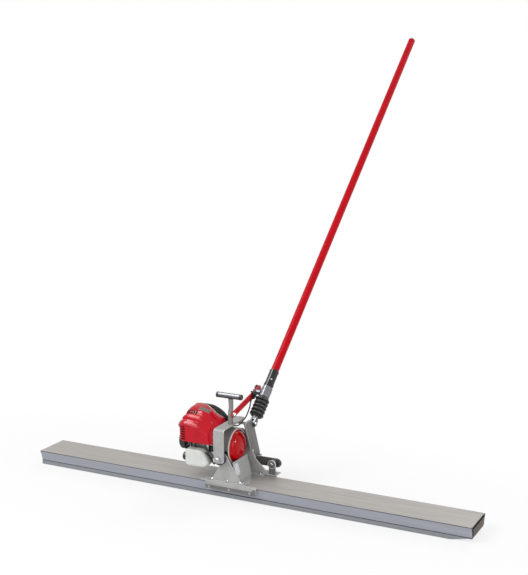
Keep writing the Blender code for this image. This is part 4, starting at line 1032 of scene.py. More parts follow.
@dataclass
class Studio:
    """The camera, the lamps, the white surround and the floor."""

    position: Vector = Vector((2.14885, -3.97575, 1.74823))
    target: Vector = Vector((0.0955, 0.0, 0.8735))
    roll: float = math.radians(-0.45)
    lens: float = 71.654
    shift_y: float = 0.00435
    ambient: float = 0.55
    shadow_share: float = 0.3
    shadow_start: float = 0.3
    shadow_reach: float = 0.95
    shadow_squeeze: float = 0.45
    floor_size: float = 40.0
    floor_drop: float = 0.0005

    def build(self) -> None:
        """Makes the whole studio."""
        bpy.context.scene.view_settings.view_transform = "Standard"
        self.add_camera()
        self.add_world()
        self.add_floor()
        for lamp in LAMPS:
            lamp.hang()

    def add_camera(self) -> None:
        """Places the camera at the picture's view."""
        camera = bpy.data.cameras.new("picture_camera")
        camera.sensor_fit = "AUTO"
        camera.sensor_width = 36.0
        camera.lens = self.lens
        camera.shift_y = self.shift_y
        camera.clip_end = 100.0
        obj = add_object("picture_camera", camera)
        ahead = (self.target - self.position).normalized()
        right = ahead.cross(Z_AXIS).normalized()
        up = right.cross(ahead)
        turned_right = right * math.cos(self.roll) + up * math.sin(self.roll)
        turned_up = up * math.cos(self.roll) - right * math.sin(self.roll)
        turn = Matrix((turned_right, turned_up, -ahead)).transposed()
        obj.matrix_world = Matrix.Translation(self.position) @ turn.to_4x4()
        bpy.context.scene.camera = obj

    def seen_directly(self, tree: bpy.types.NodeTree) -> bpy.types.NodeSocket:
        """Finds where a ray shows the surround itself.

        Args:
            tree: the shader tree to add to.

        Returns:
            A socket that is one for such rays.
        """
        path = add_node(tree, "ShaderNodeLightPath").outputs
        socket = path["Is Camera Ray"]
        for name in ("Is Glossy Ray", "Is Transmission Ray"):
            links = {0: socket, 1: path[name]}
            socket = add_node(tree, "ShaderNodeMath", {"operation": "MAXIMUM"}, links).outputs["Value"]
        return socket

    def add_world(self) -> None:
        """Makes a surround that shows white and lights the object softly."""
        world = bpy.data.worlds.new("white_surround")
        world.use_nodes = True
        bpy.context.scene.world = world
        tree = world.node_tree
        tree.nodes.clear()
        white = linear("#FFFFFF")
        soft = add_node(tree, "ShaderNodeBackground", {"Color": white, "Strength": self.ambient})
        shown = add_node(tree, "ShaderNodeBackground", {"Color": white, "Strength": 1.0})
        links = {0: self.seen_directly(tree), 1: soft.outputs[0], 2: shown.outputs[0]}
        mixed = add_node(tree, "ShaderNodeMixShader", None, links)
        add_node(tree, "ShaderNodeOutputWorld", None, {"Surface": mixed.outputs[0]})

    def add_floor(self) -> None:
        """Makes a pale floor that shows white and keeps a faint shadow."""
        half = self.floor_size / 2
        mesh = bpy.data.meshes.new("studio_floor")
        corners = rectangle((-half, -half), (half, half))
        mesh.from_pydata([(x, y, -self.floor_drop) for x, y in corners], [], [(0, 1, 2, 3)])
        material = bpy.data.materials.new("white_paper_floor")
        material.use_nodes = True
        tree = material.node_tree
        tree.nodes.clear()
        paper = add_node(tree, "ShaderNodeBsdfDiffuse", {"Color": linear("#F4F4F4")})
        glow = add_node(tree, "ShaderNodeEmission", {"Color": linear("#FFFFFF"), "Strength": 1.0})
        # The shadow fades out on the paper well before the picture's edge.
        place = add_node(tree, "ShaderNodeTexCoord").outputs["Object"]
        oval = {"Scale": (self.shadow_squeeze, 1.0, 1.0)}
        squeezed = add_node(tree, "ShaderNodeMapping", oval, {"Vector": place}).outputs["Vector"]
        far = add_node(tree, "ShaderNodeVectorMath", {"operation": "LENGTH"}, {0: squeezed})
        fade = {
            "From Min": self.shadow_start,
            "From Max": self.shadow_reach,
            "To Min": 1 - self.shadow_share,
            "To Max": 1.0,
        }
        white = add_node(tree, "ShaderNodeMapRange", fade, {"Value": far.outputs["Value"]})
        links = {0: self.seen_directly(tree), 1: white.outputs["Result"]}
        share = add_node(tree, "ShaderNodeMath", {"operation": "MULTIPLY"}, links)
        links = {0: share.outputs["Value"], 1: paper.outputs[0], 2: glow.outputs[0]}
        mixed = add_node(tree, "ShaderNodeMixShader", None, links)
        add_node(tree, "ShaderNodeOutputMaterial", None, {"Surface": mixed.outputs[0]})
        mesh.materials.append(material)
        add_object("studio_floor", mesh)


@dataclass
class Blade:
    """The long extruded blade and its end caps."""

    lean: float = 0.012
    lip: float = 0.018
    lip_out: float = 0.0015
    edge: float = 0.003
    upturn: float = 0.085
    gasket: float = 0.0018

    def half_section(self, rise: float) -> Outline:
        """Returns the right half of the blade's section, from sole to top.

        Args:
            rise: how far the sole is cut away from below.

        Returns:
            (y, z) points.
        """
        _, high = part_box("blade_profile")
        sole = high.y - self.lean
        turn = self.lip_out
        low = min(rise, self.lip - 2 * turn)
        points = arc((sole, low + turn), turn, -90, 0, 4)
        points += arc((sole, self.lip - turn), turn, 0, 60, 3)
        foot = (sole - 0.002, self.lip + 0.002)
        points.append((foot[0] + 0.001, self.lip + 0.0004))
        top = (high.y, high.z - self.edge)
        bow = (sole + self.lip_out + 0.15 * self.lean, foot[1] + 0.62 * (top[1] - foot[1]))
        points += bent(Vector(foot), Vector(bow), Vector(top), 10)
        points += arc((high.y - self.edge, high.z - self.edge), self.edge, 0, 90, 5)[1:]
        return points

    def section(self, x: float, rise: float) -> Loop:
        """Draws the closed section at one place along the blade.

        Args:
            x: the place.
            rise: how far the sole is cut away from below.

        Returns:
            The section's points.
        """
        half = self.half_section(rise)
        whole = half + [(-y, z) for y, z in reversed(half)]
        return [Vector((x, y, z)) for y, z in whole]

    def build(self) -> None:
        """Makes the extrusion and the two caps."""
        low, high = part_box("blade_profile")
        start = high.x - self.upturn
        stations = [(low.x, 0.0), (start, 0.0)]
        steps = 6
        for k in range(1, steps + 1):
            stations.append((start + self.upturn * k / steps, self.lip * k / steps))
        shape = Shape().skin([self.section(x, rise) for x, rise in stations])
        obj = shape.to_object("blade_extrusion", MILL_TOP, MILL_FACE, MILL_LIP, MILL_SHADE_LINE, crease=50)
        # The top's rounded edges and the groove above the lip take the dark line of painted shade.
        for face in obj.data.polygons:
            middle = face.center.z
            if middle > high.z - self.edge:
                face.material_index = 0 if face.normal.z > 0.97 else 3
            elif middle > self.lip + 0.0025:
                face.material_index = 1
            else:
                face.material_index = 3 if middle > self.lip - 0.0012 else 2
        settle(obj, BASE, "blade_aluminium", "blade_profile")
        self.build_cap("end_cap_left", "blade_end_cap_left", -1)
        self.build_cap("end_cap_right", "blade_end_cap_right", 1)

    def build_cap(self, name: str, node: str, sign: int) -> None:
        """Makes one end cap: a black gasket with a dark grey plate on it.

        Args:
            name: the piece's name.
            node: the node that it stands for.
            sign: one on the right end, minus one on the left.
        """
        low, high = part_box(node)
        outer = high.x if sign > 0 else low.x
        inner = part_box("blade_profile")[1 if sign > 0 else 0].x
        half = [(y, z) for y, z in self.half_section(0.0) if z > self.lip]
        outline = half + [(-y, z) for y, z in reversed(half)]
        shelf = inner + sign * self.gasket
        seal = drawn_in(outline, 0.0004)
        shape = Shape().plate(seal, Plane.YZ, min(inner, shelf), max(inner, shelf), 0.0005)
        shape.piece(name + "_gasket", finish=BLACK_RUBBER, edge=BLACK_RUBBER)
        face = eased(drawn_in(outline[::4], 0.0065), 0.004)
        shape = Shape().plate(face, Plane.YZ, min(shelf, outer), max(shelf, outer), 0.0007)
        shape.piece(name, node, finish=CAP_PLASTIC, edge=CAP_PLASTIC)


@dataclass
class Base:
    """The painted steel weldment that clamps on the blade."""

    thick: float = 0.005
    gap: float = 0.0003
    play: float = 0.0008
    rail_depth: float = 0.030
    drop: float = 0.028
    bend: float = 0.017
    toe: float = 0.026
    block_wide: float = 0.016
    shelf_depth: float = 0.045
    front_flange: float = 0.036
    rear_flange: float = 0.052
    corner: float = 0.005
    lug_share: float = 0.78
    foot_bolts: Tuple[float, ...] = (-0.110, -0.037, 0.022)
    rear_bolts: Tuple[float, ...] = (-0.078, -0.020, 0.036)
    leg_screws: Tuple[float, ...] = (-0.121, -0.027, 0.068)
    guard_thick: float = 0.004
    guard_top: Flat = (-0.0174, 0.1580)
    guard_foot: Flat = (0.0041, 0.0743)
    plate_reach: Flat = (-0.0740, -0.0425)
    plate_share: Flat = (0.34, 0.90)
    rail_rim: float = 0.0007
    foot_bolt_size: Size = (0.0125, 0.0125, 0.0070)
    leg_set_screw_size: Size = (0.0078, 0.0078, 0.0028)
    rear_foot_bolt_size: Size = (0.0098, 0.0098, 0.0052)
    bare_plate_rivet_size: Size = (0.0036, 0.0036, 0.0012)
    inside: float = field(init=False)
    edge: float = field(init=False)
    foot: float = field(init=False)
    top: float = field(init=False)
    low: float = field(init=False)

    def __post_init__(self) -> None:
        """Takes the rails' place from the blade of the frame."""
        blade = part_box("blade_profile")[1]
        self.inside = blade.y + self.play
        self.edge = blade.y - self.rail_depth
        self.foot = blade.z + self.gap
        self.top = self.foot + self.thick
        self.low = blade.z - self.drop

    def build(self) -> None:
        """Makes the rails, gussets and base plate with their fasteners."""
        self.build_front_rail()
        self.build_rear_rail()
        self.build_front_gusset()
        self.build_rear_gusset()
        dress(GREY_ENAMEL, "base_plate")
        self.build_fasteners()
        self.build_plate()

    def rail_outline(self, side: int) -> Outline:
        """Returns an angle rail's (y, z) section, with its wide bend.

        Args:
            side: one for the rear rail, minus one for the front one.

        Returns:
            The section's points.
        """
        out = self.inside + self.thick
        points = [(self.edge, self.foot), (self.inside, self.foot), (self.inside, self.low), (out, self.low)]
        first = Vector((out, self.top - self.bend))
        pull = Vector((out - 0.0004, self.top - 0.0016))
        points += bent(first, pull, Vector((self.inside, self.top)), 7)
        points.append((self.edge, self.top))
        return [(side * y, z) for y, z in points]

    def paint_leg_shade(self, obj: bpy.types.Object, side: int) -> None:
        """Gives a rail's upright leg, and what stands above its flange, grey enamel darkened as painted
        shade.

        Args:
            obj: the rail, with that finish as its third.
            side: one for the rear rail, minus one for the front one.
        """
        for face in obj.data.polygons:
            outward = face.normal.y * side > 0.7
            if face.center.z < self.top - self.bend and outward or face.center.z > self.top + 0.004:
                face.material_index = 2

    def build_front_rail(self) -> None:
        """Makes the front rail with its mitred toe and its end block."""
        low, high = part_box("front_rail")
        left = low.x + self.toe
        shape = Shape().plate(self.rail_outline(-1), Plane.YZ, left, self.front_flange, self.rail_rim)
        narrow = [(min(y, 0.007 - self.inside), z) for y, z in self.rail_outline(-1)]
        shape.plate(narrow, Plane.YZ, self.front_flange - 0.001, high.x, self.rail_rim)
        toe = [(low.x, -self.inside), (left + 0.004, -self.inside), (left + 0.004, -self.edge)]
        toe.append((low.x + 0.024, -self.edge))
        shape.plate(toe, Plane.XY, self.foot, self.top - 0.0004, self.rail_rim)
        block_top = high.z - 0.004
        near = Vector((high.x - self.block_wide, low.y, low.z))
        shape.block(near, Vector((high.x - 0.0005, low.y + 0.010, block_top)), 0.002, 0.0015)
        obj = shape.to_object("clamp_rail_front", GREY_ENAMEL, GREY_EDGE, GREY_PAINTED_SHADE)
        self.paint_leg_shade(obj, -1)
        settle(obj, BASE, "grey_paint", "front_rail")
        middle = Vector((high.x - 0.0085, low.y + 0.005, block_top))
        profile = [(0, -0.006), (0.0026, -0.006), (0.0026, 0.0003), (0.0034, 0.0006), (0.0040, 0.0002)]
        profile += [(0.0040, -0.007), (0, -0.007)]
        Shape().turned(profile, middle, Z_AXIS, 24).piece("clamp_block_screw", finish=BLACK_NYLON)

    def build_rear_rail(self) -> None:
        """Makes the rear rail with its shelf and the two lugs for the rubber mounts."""
        low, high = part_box("rear_rail")
        out = self.inside + self.thick
        shape = Shape().plate(self.rail_outline(1), Plane.YZ, low.x, self.rear_flange, self.rail_rim)
        leg = Vector((self.rear_flange - 0.002, self.inside, self.low))
        shape.block(leg, Vector((high.x, out, self.top - 0.001)), 0.0005, 0.0005)
        shelf = Vector((low.x + self.gap, self.inside - 0.002, self.foot + self.gap))
        shape.block(shelf, Vector((high.x, self.inside + self.shelf_depth, self.top - self.gap)), 0.002)
        for node in ("rear_damper_left", "rear_damper_right"):
            first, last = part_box(node)
            middle = (first + last) / 2
            radius = (last.x - first.x) / 2 * self.lug_share
            outline = [(middle.x - radius, self.top - 0.002), (middle.x + radius, self.top - 0.002)]
            outline += arc((middle.x, middle.z), radius, 0, 180, 16)
            shape.plate(outline, Plane.XZ, self.inside, out)
        obj = shape.to_object("clamp_rail_rear", GREY_ENAMEL, GREY_EDGE, GREY_PAINTED_SHADE)
        self.paint_leg_shade(obj, 1)
        settle(obj, BASE, "grey_paint", "rear_rail")

    def build_front_gusset(self) -> None:
        """Makes the front gusset with its waist, its round boss and its foot."""
        low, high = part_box("front_gusset")
        first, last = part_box("front_damper")
        boss = (first + last) / 2
        radius = (last.x - first.x) / 2 - 0.004
        axis = joint_point("exciter_spin").z
        outline = [(high.x, low.z), (boss.x + 0.044, axis - 0.051), (boss.x + 0.023, boss.z + 0.018)]
        outline += arc((boss.x, boss.z), radius, 75, 235, 14)
        outline += [(boss.x - 0.007, boss.z - 0.032), (low.x, low.z)]
        shape = Shape().plate(eased(outline, self.corner), Plane.XZ, high.y - 0.023, high.y - 0.018)
        shape.block(low, Vector((high.x, high.y, low.z + self.thick - 0.001)), 0.003)
        shape.piece("gusset_front", "front_gusset", finish=GREY_ENAMEL, edge=GREY_EDGE)

    def build_rear_gusset(self) -> None:
        """Makes the tall rear gusset, which follows the drum's side, with its foot."""
        low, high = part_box("rear_gusset")
        left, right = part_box("exciter_housing")
        drum = right.x - 0.0038
        axis = joint_point("exciter_spin").z
        outline = [
            (low.x, low.z), (high.x, low.z), (high.x, self.top + 0.018),
            (drum + 0.051, self.top + 0.059), (drum + 0.0325, axis - 0.038),
            (drum + 0.0245, axis + 0.0095), (drum + 0.009, axis + 0.0415), (drum - 0.011, high.z),
            (left.x + 0.006, high.z), (left.x - 0.001, axis + 0.0415), (left.x - 0.005, axis + 0.0095),
            (left.x - 0.007, axis - 0.038), (left.x - 0.009, self.top + 0.059),
            (low.x, self.top + 0.018),
        ]
        shape = Shape().plate(eased(outline, self.corner), Plane.XZ, high.y - self.thick, high.y)
        shape.block(low, Vector((high.x - 0.004, high.y - 0.003, low.z + self.thick - 0.001)), 0.003)
        shape.piece("gusset_rear", "rear_gusset", finish=GREY_ENAMEL, edge=GREY_EDGE)

    def build_fasteners(self) -> None:
        """Sets out the bolts on both feet and the set screws on the front leg."""
        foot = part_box("front_gusset")[0]
        level = foot.z + self.thick - 0.001
        places = [Place(Vector((x, foot.y + 0.0058, level)), Z_AXIS, X_AXIS) for x in self.foot_bolts]
        set_out("foot_bolts", Repeat.HEX_BOLT, places, self.foot_bolt_size, ZINC_PLATE)
        out = -self.inside - self.thick
        places = [Place(Vector((x, out, self.low + 0.0075)), -Y_AXIS, X_AXIS) for x in self.leg_screws]
        set_out("leg_set_screws", Repeat.PAN_SCREW, places, self.leg_set_screw_size, ZINC_PLATE)
        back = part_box("rear_gusset")[0]
        places = [Place(Vector((x, back.y + 0.006, level)), Z_AXIS, X_AXIS) for x in self.rear_bolts]
        set_out("rear_foot_bolts", Repeat.HEX_BOLT, places, self.rear_foot_bolt_size, ZINC_PLATE)

    def build_plate(self) -> None:
        """Makes the bare plate on the leaning guard, with its four rivets."""
        top = Vector((self.guard_top[0] + self.guard_thick, 0, self.guard_top[1]))
        foot = Vector((self.guard_foot[0] + self.guard_thick, 0, self.guard_foot[1]))
        normal = Y_AXIS.cross(top - foot).normalized()
        loops = []
        for inset, lift in ((0.0, 0.0001), (0.0, 0.0008), (0.0004, 0.0011)):
            loop = []
            for y, share in ((0, 0), (1, 0), (1, 1), (0, 1)):
                middle = foot.lerp(top, self.plate_share[share])
                rise = inset if share == 0 else -inset
                side = inset if y == 0 else -inset
                middle += (top - foot).normalized() * rise + Y_AXIS * (self.plate_reach[y] + side)
                loop.append(middle + normal * lift)
            loops.append(loop)
        Shape().skin(loops).piece("bare_plate", finish=BARE_PLATE)
        places = []
        for y in (self.plate_reach[0] + 0.004, self.plate_reach[1] - 0.004):
            for share in (self.plate_share[0] + 0.045, self.plate_share[1] - 0.045):
                spot = foot.lerp(top, share) + Y_AXIS * y + normal * 0.0011
                places.append(Place(spot, normal, Y_AXIS))
        set_out("bare_plate_rivets", Repeat.PAN_SCREW, places, self.bare_plate_rivet_size, ZINC_PLATE)


@dataclass
class Exciter:
    """The drum with its red dome and the turning parts inside."""

    rim: float = 0.0016
    drum_rim: float = 0.0065
    dome_bulge: float = 0.026
    flange: float = 0.007
    buffer: float = 0.0035
    bore: float = 0.0178
    floor: float = 0.008
    wall: float = 0.010
    groove: float = 0.001
    recess: float = 0.0038
    flange_thick: float = 0.003
    dome_wall: float = 0.0022
    screw_angles: Tuple[int, ...] = (45, 135, 225, 315)
    dome_screw_size: Size = (0.0048, 0.0048, 0.0024)

    def build(self) -> None:
        """Makes the drum and the dome, and dresses what is inside."""
        low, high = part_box("exciter_housing")
        axis = joint_point("exciter_spin")
        radius = high.z - axis.z
        origin = Vector((low.x, 0, axis.z))
        depth = high.x - low.x
        lip = radius - self.drum_rim
        inner = radius - self.wall
        waist = radius - self.groove
        profile = [(self.bore, 0.0)]
        profile += flipped(arc((self.rim, radius - self.rim), self.rim, 180, 90, 4))
        profile += [(radius, depth * 0.30), (waist, depth * 0.32)]
        profile += [(waist, depth * 0.68), (radius, depth * 0.70)]
        profile += flipped(arc((depth - self.rim, radius - self.rim), self.rim, 90, 0, 4))
        profile += [(lip, depth), (lip, depth - self.recess), (inner, depth - self.recess)]
        profile += [(inner, self.floor), (self.bore, self.floor)]
        shape = Shape().turned(profile, origin, X_AXIS, 96, rims=range(10, 15))
        shape.piece("drum_shell", "exciter_housing", finish=DRUM_ENAMEL, edge=GREY_EDGE)
        pad = arc((0, axis.z), radius + self.buffer, 181, 216, 8)
        pad += arc((0, axis.z), radius - 0.001, 216, 181, 8)
        shape = Shape().plate(pad, Plane.YZ, high.x - 0.018, high.x - 0.002, 0.0006)
        shape.piece("drum_buffer", finish=BLACK_RUBBER, edge=BLACK_RUBBER)
        self.build_dome()
        dress(DIE_CAST, "bearing_plate")
        dress(MACHINED_STEEL, "exciter_bearing_left", "exciter_bearing_right")
        dress(MACHINED_STEEL, "exciter_shaft", "eccentric_weight", "clutch_drum")

    def build_dome(self) -> None:
        """Makes the spun dome with its flange and screws."""
        low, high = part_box("dome_cover")
        axis = joint_point("exciter_spin")
        base = Vector((low.x, 0, axis.z))
        rim = high.z - axis.z
        seat = self.flange_thick
        skin = self.dome_wall
        root = rim - self.flange
        outside = [(rim, 0.0), (rim, seat - 0.0008), (rim - 0.0008, seat), (root + 0.002, seat)]
        inside = [(root - skin, 0.0)]
        steps = 18
        for i in range(1, steps + 1):
            angle = math.pi / 2 * i / steps
            reach = math.cos(angle) ** 0.9 if i < steps else 0.0
            outside.append((root * reach, seat + self.dome_bulge * math.sin(angle)))
            inside.append(((root - skin) * reach, seat + (self.dome_bulge - skin) * math.sin(angle)))
        shape = Shape().turned(outside + inside[::-1], base, X_AXIS, 96)
        shape.piece("dome_shell", "dome_cover", finish=RED_DOME, crease=40)
        places = []
        for degrees in self.screw_angles:
            angle = math.radians(degrees)
            reach = rim - 0.0034
            point = base + Vector((seat, reach * math.cos(angle), reach * math.sin(angle)))
            places.append(Place(point, X_AXIS, Y_AXIS))
        set_out("dome_screws", Repeat.PAN_SCREW, places, self.dome_screw_size, ZINC_PLATE)


@dataclass
class Carrier:
    """The sprung hoop, the rear crossbar, the pole bracket and the carrying handle."""

    hoop_bend: float = 0.012
    hoop_thick: float = 0.006
    hoop_width: float = 0.047
    hoop_corner: float = 0.016
    tie_front: float = 0.036
    tie_back: float = 0.050
    strap_ease: float = 0.0009
    pin_head: float = 0.0085
    pin_shank: float = 0.006
    post_back: float = -0.008
    post_sides: int = 40
    tube_wall: float = 0.002
    washer: float = 0.0190
    front_bolt: Tuple[float, Finish] = (0.021, ZINC_PLATE)
    rear_bolt: Tuple[float, Finish] = (0.0165, MACHINED_STEEL)
    bolt_height: float = 0.0085
    crossbar_nut_size: Size = (0.018, 0.018, 0.008)
    arm_pivot_bolt_size: Size = (0.0165, 0.0165, 0.0068)

    def build(self) -> None:
        """Makes every piece of the carrier."""
        self.build_hoop()
        self.build_dampers()
        self.build_crossbar()
        self.build_bracket()
        self.build_handle()

    def hoop_stations(self) -> List[Tuple[float, float, float]]:
        """Sets out the hoop's strap.

        Returns:
            Its (y, z, half width) from its lower end to its tail.
        """
        low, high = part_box("hoop_frame")
        half = self.hoop_width / 2
        front = low.y + self.hoop_thick / 2
        top = high.z - self.hoop_thick / 2
        bend = self.hoop_bend
        ends = rounding(self.hoop_corner, 6)
        stations = [(front, low.z + depth, half - inset) for inset, depth in ends]
        stations += [(y, z, half) for y, z in arc((front + bend, top - bend), bend, 180, 90, 8)]
        return stations + [(high.y - depth, top, half - inset) for inset, depth in reversed(ends)]

    def build_hoop(self) -> None:
        """Makes the bent hoop with its rounded ends, and its tie bar."""
        low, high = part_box("hoop_frame")
        middle = low.x + self.hoop_width / 2
        stations = self.hoop_stations()
        loops = []
        ease = self.strap_ease
        outer = self.hoop_thick / 2
        last = len(stations) - 1
        for index, (y, z, reach) in enumerate(stations):
            before = stations[max(index - 1, 0)]
            after = stations[min(index + 1, last)]
            run = Vector((0, after[0] - before[0], after[1] - before[1])).normalized()
            normal = Vector((0, -run.z, run.y))
            section = []
            for across, lift in ((-1, -1), (1, -1), (1, 1), (-1, 1)):
                flat = (across * (reach - ease), lift * outer)
                upright = (across * reach, lift * (outer - ease))
                section += [upright, flat] if across == lift else [flat, upright]
            loops.append([Vector((middle + u, y, z)) + normal * w for u, w in section])
        shape = Shape().skin(loops)
        tie = Vector((low.x + 0.004, self.tie_front, high.z - 0.014))
        shape.block(tie, Vector((high.x, self.tie_back, high.z - 0.0062)), 0.001)
        obj = shape.to_object("hoop_strap", GREY_ENAMEL, GREY_EDGE)
        # The strap's narrow sides take the pale edge enamel as a painted highlight.
        for face in obj.data.polygons:
            narrow = face.area < 0.0011 * self.hoop_width
            if narrow and abs(face.normal.x) > 0.3 and face.center.y < self.tie_front:
                face.material_index = 1
        settle(obj, BASE, "grey_paint", "hoop_frame")

    def build_dampers(self) -> None:
        """Makes the rubber mounts with their washers and bolts."""
        for name, node, bolt in (
            ("mount_front", "front_damper", "front_damper_bolt"),
            ("mount_rear_left", "rear_damper_left", "rear_damper_bolt_left"),
            ("mount_rear_right", "rear_damper_right", "rear_damper_bolt_right"),
        ):
            low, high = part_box(node)
            middle = (low + high) / 2
            origin = Vector((middle.x, low.y, middle.z))
            length = high.y - low.y
            radius = (high.x - low.x) / 2
            profile = [(0, 0), (radius - 0.001, 0), (radius, 0.001)]
            steps = 8
            for k in range(1, steps):
                t = k / steps
                profile.append((radius - 0.0016 * math.sin(math.pi * t), 0.001 + (length - 0.002) * t))
            profile += [(radius, length - 0.001), (radius - 0.001, length), (0, length)]
            Shape().turned(profile, origin, Y_AXIS, 48).piece(name, node, finish=BLACK_RUBBER)
            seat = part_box(bolt)[0].y + 0.0068
            across, finish = self.front_bolt if node == "front_damper" else self.rear_bolt
            places = [Place(Vector((middle.x, seat, middle.z)), -Y_AXIS, X_AXIS)]
            size = (across, across, self.bolt_height)
            set_out(name + "_bolt", Repeat.HEX_BOLT, places, size, finish, bolt, slot="zinc")
            if node == "front_damper":
                continue
            # A cupped steel washer lies between the lug and the bolt's head; its face is grey enamel darkened
            # as painted shade.
            rim = self.washer
            profile = [(0, 0), (rim, 0), (rim, 0.0030), (rim - 0.001, 0.0036), (rim - 0.0026, 0.0036)]
            profile += [(rim - 0.0036, 0.0022), (rim * 0.5, 0.0026), (0, 0.0026)]
            shape = Shape().turned(profile, Vector((middle.x, seat, middle.z)), -Y_AXIS, 56, rims=(1, 2, 3))
            shape.piece(name + "_washer", finish=GREY_PAINTED_SHADE, edge=GREY_EDGE)

    def build_crossbar(self) -> None:
        """Makes the black bar behind the rear mounts, with its nuts."""
        low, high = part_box("rear_crossbar")
        half = (high.z - low.z) / 2
        level = (high.z + low.z) / 2
        outline = arc((high.x - half, level), half, -90, 90, 14)
        outline += arc((low.x + half, level), half, 90, 270, 14)
        shape = Shape().plate(outline, Plane.XZ, low.y, high.y, 0.0012)
        shape.piece("crossbar", "rear_crossbar", finish=DUSTY_ENAMEL, edge=DUSTY_ENAMEL)
        places = []
        for node in ("rear_damper_left", "rear_damper_right"):
            first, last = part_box(node)
            places.append(Place(Vector(((first.x + last.x) / 2, high.y, level)), Y_AXIS, X_AXIS))
        set_out("crossbar_nuts", Repeat.HEX_BOLT, places, self.crossbar_nut_size, ZINC_PLATE)

    def build_bracket(self) -> None:
        """Makes the upright plate that carries the pole's pin, and the pin."""
        low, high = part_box("pole_bracket")
        pivot = joint_point("pole_tilt")
        axis = joint_point("exciter_spin")
        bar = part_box("rear_crossbar")
        foot = bar[1].z + 0.0003
        outline = [
            (bar[0].y - 0.023, foot), (bar[1].y + 0.012, foot), (bar[1].y + 0.014, foot + 0.012),
            (bar[1].y + 0.004, foot + 0.040), (pivot.y + 0.016, pivot.z - 0.034),
        ]
        outline += arc((pivot.y, pivot.z), 0.0135, -50, 130, 12)
        outline += [
            (pivot.y - 0.026, pivot.z + 0.024), (pivot.y - 0.074, pivot.z + 0.020),
            (pivot.y - 0.024, axis.z - 0.029), (bar[0].y - 0.023, axis.z - 0.034),
        ]
        shape = Shape().plate(eased(outline, 0.003, 3), Plane.YZ, low.x, high.x, 0.0009)
        foot_low = Vector((low.x - 0.012, bar[0].y - 0.010, foot))
        shape.block(foot_low, Vector((high.x + 0.012, bar[1].y + 0.010, foot + 0.005)), 0.003)
        # The bracket's grey enamel is darkened as painted shade.
        shape.piece("bracket_plate", "pole_bracket", finish=GREY_PAINTED_SHADE, edge=GREY_EDGE)
        first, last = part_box("clevis_pin")
        origin = Vector((first.x, pivot.y, pivot.z))
        reach = last.x - first.x
        head = self.pin_head
        shank = self.pin_shank
        profile = [(0, 0), (head - 0.001, 0), (head, 0.001), (head, 0.004), (shank, 0.004)]
        profile += [(shank, reach - 0.0045), (head, reach - 0.0045), (head, reach - 0.001)]
        profile += [(head - 0.001, reach), (0, reach)]
        Shape().turned(profile, origin, X_AXIS, 32).piece("pole_pin", "clevis_pin", finish=ZINC_PLATE)

    def build_handle(self) -> None:
        """Makes the handle's foot and oval post, the chromed tube and its caps."""
        low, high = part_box("handle_post")
        pivot = joint_point("arm_swing")
        right = high.x
        post_y = self.post_back
        # Height, half width, half depth, middle across, middle front to back, squareness.
        levels = [
            (low.z, 0.0105, 0.0125, right - 0.0100, pivot.y, 3.0),
            (low.z + 0.003, 0.0098, 0.0118, right - 0.0098, pivot.y, 3.0),
            (low.z + 0.012, 0.0090, 0.0108, right - 0.0091, pivot.y, 3.0),
            (pivot.z, 0.0090, 0.0108, right - 0.0091, pivot.y, 3.0),
            (pivot.z + 0.012, 0.0090, 0.0102, right - 0.0092, pivot.y + 0.001, 2.8),
            (pivot.z + 0.026, 0.0096, 0.0084, right - 0.0098, post_y - 0.001, 2.4),
            (high.z - 0.016, 0.0106, 0.0078, right - 0.0108, post_y, 2.2),
            (high.z, 0.0112, 0.0082, right - 0.0114, post_y, 2.2),
        ]
        loops = []
        for z, half_x, half_y, x, y, power in levels:
            loop = []
            for angle in circle(self.post_sides):
                c, s = math.cos(angle), math.sin(angle)
                u = math.copysign(abs(c) ** (2 / power), c) * half_x
                v = math.copysign(abs(s) ** (2 / power), s) * half_y
                loop.append(Vector((x + u, y + v, z)))
            loops.append(loop)
        shape = Shape().skin(loops)
        settle(shape.to_object("handle_stem", DRUM_ENAMEL, crease=50), BASE, "grey_paint", "handle_post")
        low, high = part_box("handle_tube")
        middle = (low + high) / 2
        radius = (high.z - low.z) / 2
        length = high.x - low.x
        start = Vector((low.x, middle.y, middle.z))
        inner = radius - self.tube_wall
        profile = [(inner, 0), (radius, 0), (radius, length), (inner, length)]
        shape = Shape().turned(profile, start, X_AXIS, 64)
        shape.piece("handle_grip_tube", "handle_tube", finish=CHROME_PLATE)
        for node, begin, sign in (("handle_cap_left", low.x, -1), ("handle_cap_right", high.x, 1)):
            plug, lip = radius - 0.0023, radius + 0.0004
            profile = [(0, -0.010), (plug, -0.010), (plug, 0.0002), (lip, 0.0002), (lip, 0.0075)]
            profile += flipped(arc((0.0075, radius - 0.0035), 0.0039, 90, 20, 5))
            profile += [(0.004, 0.0118), (0.003, 0.0106), (0, 0.0106)]
            shape = Shape().turned(profile, Vector((begin, middle.y, middle.z)), X_AXIS * sign, 48)
            shape.piece(node + "_moulding", node, finish=BLACK_RUBBER)
        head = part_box("arm_bolt")[1].x
        places = [Place(Vector((head - 0.0062, pivot.y, pivot.z)), X_AXIS, Y_AXIS)]
        set_out("arm_pivot_bolt", Repeat.HEX_BOLT, places, self.arm_pivot_bolt_size, ZINC_PLATE, "arm_bolt")


